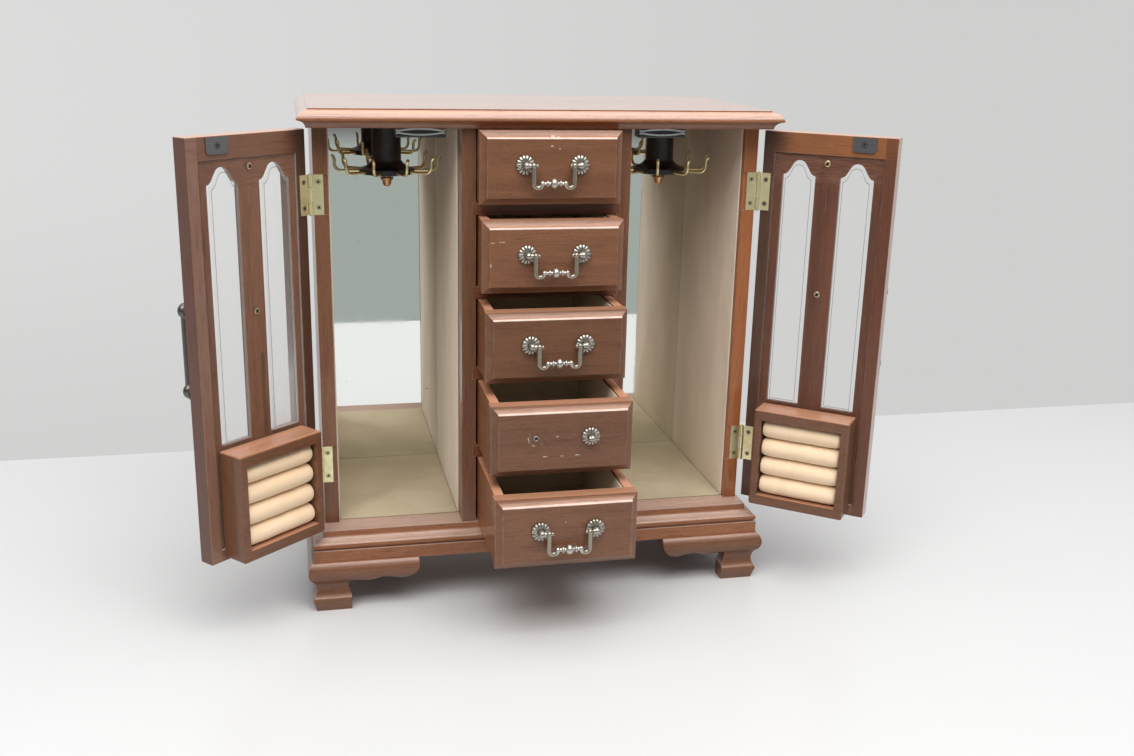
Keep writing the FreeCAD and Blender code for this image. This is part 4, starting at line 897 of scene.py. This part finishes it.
for number in DRAWERS:
    low, high = node_box(f"drawer_{number}_box")
    foot = low[2] + BOX_BOTTOM + TRAY_EASE
    height = high[2] - TRAY_DROP - foot
    half_x = (high[0] - low[0]) / 2 - BOX_WALL - TRAY_EASE
    half_y = (high[1] - BOX_WALL - low[1]) / 2 - TRAY_EASE
    levels = [(None, 0.0), (0.3, 0.0), (0.0, 0.3), (0.0, height - 0.4), (0.15, height - 0.1)]
    levels += [(TRAY_WALL / 2, height), (TRAY_WALL - 0.15, height - 0.1), (TRAY_WALL, height - 0.4)]
    levels += [(TRAY_WALL, 2.4), (TRAY_WALL + 0.4, 1.4), (TRAY_WALL + 1.5, TRAY_FLOOR), (None, TRAY_FLOOR)]
    middle = ((low[0] + high[0]) / 2, (low[1] + high[1] - BOX_WALL) / 2, foot)
    tray = ring_stack(middle, half_x, half_y, TRAY_CORNER, levels)
    rim = np.where(tray[..., 2] > foot + height - TRAY_RIM, 1.0, 0.0)
    lining = surface_piece(f"drawer_{number}_tray", [tray * MM], OLIVE_VELVET, values=("rim", [rim]))
    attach(lining, f"drawer_{number}")
print("trays", round(2 * half_x, 1), "by", round(2 * half_y, 1), "mm")

# %% [markdown]
# The ring rolls are foam cylinders in tan velvet, pressed side by side so that a ring stands between them.
# A circle is carried along the roll, its radius falling at each end as a superellipse and swelling a little
# along the way, and its back is pressed flat against the box.

# %% Ring rolls
ROLLS, ROLL_STEPS, ROLL_SIDES = 4, 65, 48
ROLL_END_POWER = 9.0
ROLL_SWELL = 0.012
ROLL_EASE = 0.15


def ring_roll(centre, half_length, radius, phase):
    """x runs along the roll; the radius is radius * (1 - |s|^p)^(1/p), with a slow swell along s."""
    s = np.sin(np.linspace(-1, 1, ROLL_STEPS) * math.pi / 2)[:, None]
    turn = around(ROLL_SIDES)
    fall = np.maximum(1 - np.abs(s) ** ROLL_END_POWER, 0.0) ** (1 / ROLL_END_POWER)
    waves = np.sin(4 * s + phase) * np.cos(turn) + 0.6 * np.sin(9 * s + 2 * phase)
    swell = 1 + ROLL_SWELL * waves - ROLL_SWELL
    return lathe(radius * fall * swell, half_length * s, turn)[..., [2, 0, 1]] + np.asarray(centre)


for side in SIDES:
    low, high = closed_box(side, "ring_rolls")
    pitch = (high[2] - low[2]) / ROLLS
    radius = pitch / 2 - ROLL_EASE / 2
    middle_x = (low[0] + high[0]) / 2
    half_length = (high[0] - low[0]) / 2 - ROLL_EASE
    rolls = []
    for i in range(ROLLS):
        centre = (middle_x, high[1] - radius, low[2] + (i + 0.5) * pitch)
        rolls.append(swung(ring_roll(centre, half_length, radius, 1.7 * i + SIDES[side]) * MM, side))
    velvet_rolls = surface_piece(f"{side}_door_velvet_rolls", rolls, TAN_VELVET, crease=80.0)
    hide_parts(f"{side}_door_ring_rolls")
    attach(velvet_rolls, f"{side}_door")
print("rolls of radius", round(radius, 2), "mm")

# %% [markdown]
# The cast rosettes are fluted like a flower. Each is a ring of petals laid over the plain boss: the profile
# runs up from the rim, over the dome to the post and back underneath, and the petals lift it by a row of
# rounded ridges that meet in sharp valleys.

# %% Rosettes
PETALS, PETAL_STEPS = 14, 14
PETAL_LIFT, PETAL_REACH = 0.50, 0.45
# the second number is how dark the rosette's underside is painted
UNDERSIDE, UNDER_DARK = 0.05, 0.8
ROSETTE_RADIUS = 6.0
SKIN = 0.14
# post radius, height at the rim and height at the crown of the bosses, in mm
DRAWER_BOSS, PULL_BOSS = (2.45, 0.84, 2.35), (3.3, 1.14, 2.55)


def fluted_ring(post, rim, crown):
    """Petals as a closed ring about Z: rows go from the post, over the dome, down the rim and back below."""
    turn = around(PETALS * PETAL_STEPS)
    petal = np.abs(np.cos(turn * PETALS / 2)) ** 0.5
    s, under = np.linspace(0, 1, 16)[:, None], np.linspace(1, 0, 3)[:, None]
    window = np.sin(np.clip(s * 1.25 + 0.05, 0, 1) * math.pi / 2)
    reach = post + (ROSETTE_RADIUS + SKIN + PETAL_REACH * petal - post) * np.concatenate([s, under])
    dome = rim + (crown - rim) * (1 - s**2.2)
    low = np.full((len(under), turn.size), UNDERSIDE)
    height = np.concatenate([dome + SKIN + PETAL_LIFT * petal * window, low])
    depth = np.concatenate([(1 - petal) * window, np.full_like(low, UNDER_DARK)])
    return lathe(reach, height, turn), depth


def fluted_piece(name, rings, depth, finish):
    """One piece of several fluted rings that all have the same depths."""
    return surface_piece(name, rings, finish, True, crease=70.0, values=("recess", [depth] * len(rings)))


def faced(shape, centre, outward):
    """Moves a shape built about Z so that its Z points outward at the centre and its Y points up."""
    upward, outward = np.array([0.0, 0.0, 1.0]), np.asarray(outward, float)
    return shape @ np.stack([np.cross(upward, outward), upward, outward]) + np.asarray(centre)


ring, depth = fluted_ring(*DRAWER_BOSS)
OUT_OF_FACE = (0, -1, 0)
for number in DRAWERS:
    low, high = node_box(f"drawer_{number}_rosettes")
    level = (low[2] + high[2]) / 2
    spread = high[0] - ROSETTE_RADIUS
    kept = [1] if low[0] > 0 else [-1, 1]
    rings = [faced(ring, (s * spread, high[1], level), OUT_OF_FACE) * MM for s in kept]
    flutes = fluted_piece(f"drawer_{number}_flutes", rings, depth, PEWTER)
    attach(flutes, f"drawer_{number}")
ring, depth = fluted_ring(*PULL_BOSS)
for side in SIDES:
    low, high = closed_box(side, "pull")
    middle_x = (low[0] + high[0]) / 2
    ends = (low[2] + ROSETTE_RADIUS, high[2] - ROSETTE_RADIUS)
    rings = [swung(faced(ring, (middle_x, high[1], z), OUT_OF_FACE) * MM, side) for z in ends]
    # painted shade: the pulls' rosettes take the darker copy of the pewter
    flutes = fluted_piece(f"{side}_door_flutes", rings, depth, SHADED_PEWTER)
    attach(flutes, f"{side}_door")
print("rosettes with", PETALS, "petals")

# %% [markdown]
# Screws hold the hinges, strikes and clear sheets. A head is a low dome about its own axis, with a cross
# pressed into it: two crossed grooves, each a bell curve across and cut short before the rim. The depth of
# the cross is kept as the recess attribute, so that the cross is also painted darker.

# %% Screws
HEAD_SIDES, HEAD_FOOT = 64, -0.05
GROOVE_WIDTH, GROOVE_END = 0.17, 0.80
SEAT_MIDDLE, SEAT_WIDTH = 0.86, 0.12


def screw_head(radius, dome, cross, spin, ring, well):
    """Height is dome * (1 - (r/R)^2), less the deeper of two bell-shaped grooves; rows end below the face.

    ring is how dark the countersunk seat round the head is painted, and well is the share of the
    radius that is painted dark all over, in the middle.
    """
    share = np.array([0.0, 0.12, 0.22, 0.32, 0.42, 0.52, 0.62, 0.72, 0.82, 0.92, 1.0])[:, None]
    turn = around(HEAD_SIDES)
    x, y = share * np.cos(turn + spin), share * np.sin(turn + spin)
    groove = np.maximum(np.exp(-((x / GROOVE_WIDTH) ** 2)), np.exp(-((y / GROOVE_WIDTH) ** 2)))
    groove = groove * (share < GROOVE_END)
    height = dome * (1 - 0.75 * share**2 - cross * groove)
    rim = np.broadcast_to(HEAD_FOOT, (1, turn.size))
    height = np.concatenate([height, rim, rim])
    seat = np.exp(-(((share - SEAT_MIDDLE) / SEAT_WIDTH) ** 2))
    darkened = np.maximum(groove * (1 - 0.6 * ring), ring * seat)
    darkened = np.maximum(darkened, 1.0 * (share < well))
    depth = np.concatenate([darkened, rim * 0 + 0.4, rim * 0])
    share = np.concatenate([share, [[1.0]], [[0.0]]])
    return lathe(radius * share, height, turn), depth


HINGE_HEIGHT, LEAF_WIDTH, LEAF_PROUD = 27.5, 6.8, 1.0
HINGE_SCREW_SPREAD = 8.8
SHEET_SCREW_LEVELS, SHEET_SCREW_REACH = (326.0, 230.0), 50.1
SCREWS = {
    # kind: radius and dome in mm, depth of the cross, its turn, darkness in the seat, dark share of the
    # middle
    "hinge": (1.8, 0.085, 0.6, 0.5, 0.7, 0.5),
    "sheet": (2.3, 0.8, 0.5, 0.9, 0.0, 0.5),
    "strike": (2.4, 0.25, 0.8, 0.2, 0.9, 0.55),
}
INTO_ROOM = (0, 1, 0)

(hinge_head, hinge_depth), (sheet_head, sheet_depth), (strike_head, strike_depth) = (
    screw_head(*measures) for measures in SCREWS.values()
)
case_low, case_high = node_box("case_hinge_leaves")
case_front = node_box("left_side")[0][1]
levels = [case_low[2] + HINGE_HEIGHT / 2, case_high[2] - HINGE_HEIGHT / 2]
levels = [z + s * HINGE_SCREW_SPREAD for z in levels for s in (-1, 1)]
heads = []
leaf_x = abs(node_box("left_side")[0][0]) - LEAF_WIDTH / 2
for sign in SIDES.values():
    heads += [faced(hinge_head, (sign * leaf_x, case_front, z), OUT_OF_FACE) * MM for z in levels]
screws = surface_piece("case_hinge_screws", heads, BRASS, values=("recess", [hinge_depth] * len(heads)))
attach(screws, "case")
for side, sign in SIDES.items():
    door = f"{side}_door"
    axis_x = JOINTS[f"{door}_hinge"]["pos_m"][0] / MM
    leaf_low, leaf_high = closed_box(side, "hinge_leaves")
    sheet_face = closed_box(side, "clear_sheet")[1][1]
    leaf_face = sheet_face + LEAF_PROUD
    leaf_x = leaf_low[0] + LEAF_WIDTH / 2 if sign > 0 else leaf_high[0] - LEAF_WIDTH / 2
    heads = [faced(hinge_head, (leaf_x, leaf_face, z), INTO_ROOM) for z in levels]
    sheet_x = axis_x - sign * SHEET_SCREW_REACH
    heads += [faced(sheet_head, (sheet_x, sheet_face, z), INTO_ROOM) for z in SHEET_SCREW_LEVELS]
    depths = [hinge_depth] * len(levels) + [sheet_depth] * len(SHEET_SCREW_LEVELS)
    heads = [swung(head * MM, side) for head in heads]
    screws = surface_piece(f"{door}_screws", heads, OLD_BRASS, values=("recess", depths))
    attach(screws, door)
    low, high = closed_box(side, "strike")
    centre = ((low[0] + high[0]) / 2, high[1], (low[2] + high[2]) / 2)
    head = swung(faced(strike_head, centre, INTO_ROOM) * MM, side)
    screw = surface_piece(f"{door}_strike_screw", [head], GREY_STEEL, values=("recess", [strike_depth]))
    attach(screw, door)
print("screws set")

# %% [markdown]
# Each door's fret is one thin board with two tall lights. A light has a square foot, hollow shoulders,
# sloping flanks and a round crown, with every curve an arc given by its bulge. The board is made as two
# frames that meet along the middle of the muntin, each a band between its light's outline and a rectangle.
# The sheet in front of it has a fine line etched just inside each light, and the band between is frosted.

# %% Frets and etched lines
ETCH_INSET, ETCH_WIDTH, ETCH_RISE = 2.4, 0.34, 0.05
BAND_ROOT, FROST_INSET = 0.01, 0.4
FRET_MARGIN, MUNTIN = 6.7, 18.0
FRET_TONES = {"left": "brown", "right": "deep"}
FRET_DEPTHS = {"left": 1.7, "right": 1.2}
PANE_SILL, PANE_HEAD, PANE_ARCH = 81.5, 20.0, 10.9
SHOULDER_SHARES, CROWN_SHARES = (0.669, 0.254), (0.414, 0.738)
SHOULDER_BULGE, CROWN_BULGE = -0.222, 0.577


def bulged(start, end, bulge, steps):
    """Points of an arc from start to end, rising by half its bulge times the chord; the end is left out."""
    start, end = np.asarray(start, float), np.asarray(end, float)
    s = np.linspace(0, 1, steps, endpoint=False)[:, None]
    if not bulge:
        return start + (end - start) * s
    chord = end - start
    half_turn = 2 * math.atan(bulge)
    normal = np.array([-chord[1], chord[0]])
    centre = (start + end) / 2 + normal / (2 * math.tan(half_turn))
    turn = 2 * half_turn * s
    arm = start - centre
    x = arm[0] * np.cos(turn) - arm[1] * np.sin(turn)
    y = arm[0] * np.sin(turn) + arm[1] * np.cos(turn)
    return centre + np.concatenate([x, y], axis=1)


def light_outline(middle, half, sill, crown, inset):
    """A light's outline in X and Z, moved in by the inset."""
    half, sill = half - inset, sill + inset
    shoulder = crown - PANE_ARCH - inset
    (low_x, low_z), (high_x, high_z) = (
        (along * half, shoulder + up * PANE_ARCH) for along, up in (SHOULDER_SHARES, CROWN_SHARES)
    )
    corners = [(-half, sill, 0), (half, sill, 0), (half, shoulder, SHOULDER_BULGE), (low_x, low_z, 0)]
    corners += [(high_x, high_z, CROWN_BULGE), (-high_x, high_z, 0), (-low_x, low_z, SHOULDER_BULGE)]
    corners += [(-half, shoulder, 0)]
    runs = []
    for (x0, z0, bulge), (x1, z1, _) in zip(corners, corners[1:] + corners[:1]):
        runs.append(bulged((x0, z0), (x1, z1), bulge, 12 if bulge else 3))
    return np.concatenate(runs) + (middle, 0.0)


def flat_band(outer, inner, face, rise):
    """A thin closed band between two outlines that lie on the plane Y = face, rise thick."""
    root = face - BAND_ROOT
    rows = [(outer, root), (outer, face + rise), (inner, face + rise), (inner, root)]
    return np.stack([np.column_stack([o[:, 0], np.full(len(o), y), o[:, 1]]) for o, y in rows])


def framed(outline, low, high):
    """Points of a rectangle, one for each of an outline's, with sides stretched out and head lifted."""
    middle = (outline.min(axis=0) + outline.max(axis=0)) / 2
    half = (outline[:, 0].max() - outline[:, 0].min()) / 2
    shoulder = outline[:, 1].max() - PANE_ARCH
    across = (outline[:, 0] - middle[0]) / half
    x = middle[0] + across * np.where(across < 0, middle[0] - low[0], high[0] - middle[0])
    up = np.clip((outline[:, 1] - outline[:, 1].min()) / (shoulder - outline[:, 1].min()), 0, 1)
    return np.column_stack([x, low[1] + up * (high[1] - low[1])])


FROST = clear_sheet("frosted_band", 0.03, (0.93, 0.93, 0.92))
ETCH = black("etched_line", (0.22, 0.19, 0.16), 0.5)
for side, sign in SIDES.items():
    door = f"{side}_door"
    low, high = closed_box(side, "frame")
    face = closed_box(side, "clear_sheet")[1][1]
    middle = (low[0] + high[0]) / 2
    half = (high[0] - low[0] - 2 * DOOR_STILE - 2 * FRET_MARGIN - MUNTIN) / 4
    panel_low, panel_high = closed_box(side, "fret_panel")
    lines, bands, frames = [], [], []
    for way in (-1, 1):
        place = (middle + way * (MUNTIN / 2 + half), half, low[2] + PANE_SILL, high[2] - PANE_HEAD)
        edge, outer, inner = (
            light_outline(*place, inset) for inset in (FROST_INSET, ETCH_INSET, ETCH_INSET + ETCH_WIDTH)
        )
        light = light_outline(*place, 0.0)
        ends = sorted((middle, panel_low[0] if way < 0 else panel_high[0]))
        board = framed(light, (ends[0], panel_low[2]), (ends[1], panel_high[2]))
        back = panel_low[1] + BAND_ROOT
        frames.append(swung(flat_band(board, light, back, panel_high[1] - back) * MM, side))
        lines.append(swung(flat_band(outer, inner, face, ETCH_RISE) * MM, side))
        bands.append(swung(flat_band(edge, outer, face, ETCH_RISE / 2) * MM, side))
    head = (panel_high[2] - PANE_HEAD) * MM
    fret = mahogany(
        f"{side}_fret", ALONG_Z, FRET_TONES[side], *closed_mapping(side), (0.0, head), fret_figure(side),
        gloss=0.15, fade_and_light=0.0, depth=FRET_DEPTHS[side],
    )
    panel = surface_piece(f"{door}_fret", frames, fret, True)
    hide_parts(f"{door}_fret_panel")
    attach(panel, door)
    line = surface_piece(f"{door}_etched_lines", lines, ETCH, True)
    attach(line, door)
    band = surface_piece(f"{door}_frosted_bands", bands, FROST, True)
    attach(band, door)
print("lights", round(2 * half, 2), "mm wide")

# %% [markdown]
# A magnetic catch shows two bright steel poles on its black housing. They meet in points near the ends and
# bow apart in the middle: a small rectangle is carried along half a wave, and a short tab ends each pole.

# %% Catch poles
POLE_HALF_LENGTH, POLE_LENS, POLE_BOW, POLE_CLOSE = 17.0, 15.0, 1.35, 0.62
POLE_THICK, POLE_PROUD, POLE_DEEP, POLE_TAB = 1.15, 0.3, 2.0, 0.5
CATCH_HALF_LENGTH = 17.5

catch_low, catch_high = node_box("catches")
catch_face = catch_low[1]
catch_level = (catch_low[2] + catch_high[2]) / 2
poles = []
along = np.linspace(-1, 1, 61)[:, None] * POLE_HALF_LENGTH
corner_y = np.array([-POLE_PROUD, -POLE_PROUD, POLE_DEEP, POLE_DEEP])[None, :]
corner_z = np.array([-0.5, 0.5, 0.5, -0.5])[None, :] * POLE_THICK
bow = POLE_BOW * np.cos(np.clip(along / POLE_LENS, -1, 1) * math.pi / 2) ** 0.8
tab = POLE_TAB * np.clip((np.abs(along) - POLE_LENS) / (POLE_HALF_LENGTH - POLE_LENS), 0, 1)
catch_middle = catch_high[0] - CATCH_HALF_LENGTH
for sign in SIDES.values():
    for way in (-1, 1):
        rise = way * (POLE_CLOSE + bow + tab)
        x = np.broadcast_to(sign * catch_middle + along, (along.size, 4))
        body = np.stack([x, np.broadcast_to(corner_y, x.shape), rise + corner_z], axis=-1)
        ends = [np.broadcast_to(end.mean(axis=0), (1, 4, 3)) for end in (body[0], body[-1])]
        strip = np.concatenate([ends[0], body, ends[1]]) + (0, catch_face, catch_level)
        poles.append(strip * MM)
pole_strips = surface_piece("catch_poles", poles, STEEL)
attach(pole_strips, "case")
print(len(poles), "catch poles")

# %% [markdown]
# The fourth drawer has lost its left rosette. What is left is the end of the threaded post in its hole: a
# short worn tube, turned about its axis from a profile that goes up the outside and down into the bore.

# %% Bare post
POST_PROFILE = [(0.0, -0.1), (2.0, -0.1), (2.0, 0.2), (1.8, 0.4), (1.4, 0.36), (1.1, 0.06), (0.0, 0.04)]
# how dark each point of the profile is painted, darkest down in the bore
POST_DARKNESS = [0.0, 0.6, 0.5, 0.1, 0.2, 1.0, 1.0]
POST_SIDES = 40

low, high = node_box("drawer_4_rosettes")
spread = high[0] - ROSETTE_RADIUS
level = (low[2] + high[2]) / 2
profile = np.array(POST_PROFILE)
shape = lathe(profile[:, :1], profile[:, 1:], around(POST_SIDES))
post = faced(shape, (-spread, high[1], level), OUT_OF_FACE) * MM
darkened = np.repeat(np.array(POST_DARKNESS)[:, None], POST_SIDES, 1)
bare_post = surface_piece("drawer_4_bare_post", [post], PEWTER, values=("recess", [darkened]))
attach(bare_post, "drawer_4")
print("bare post at", round(-spread, 1), "mm")
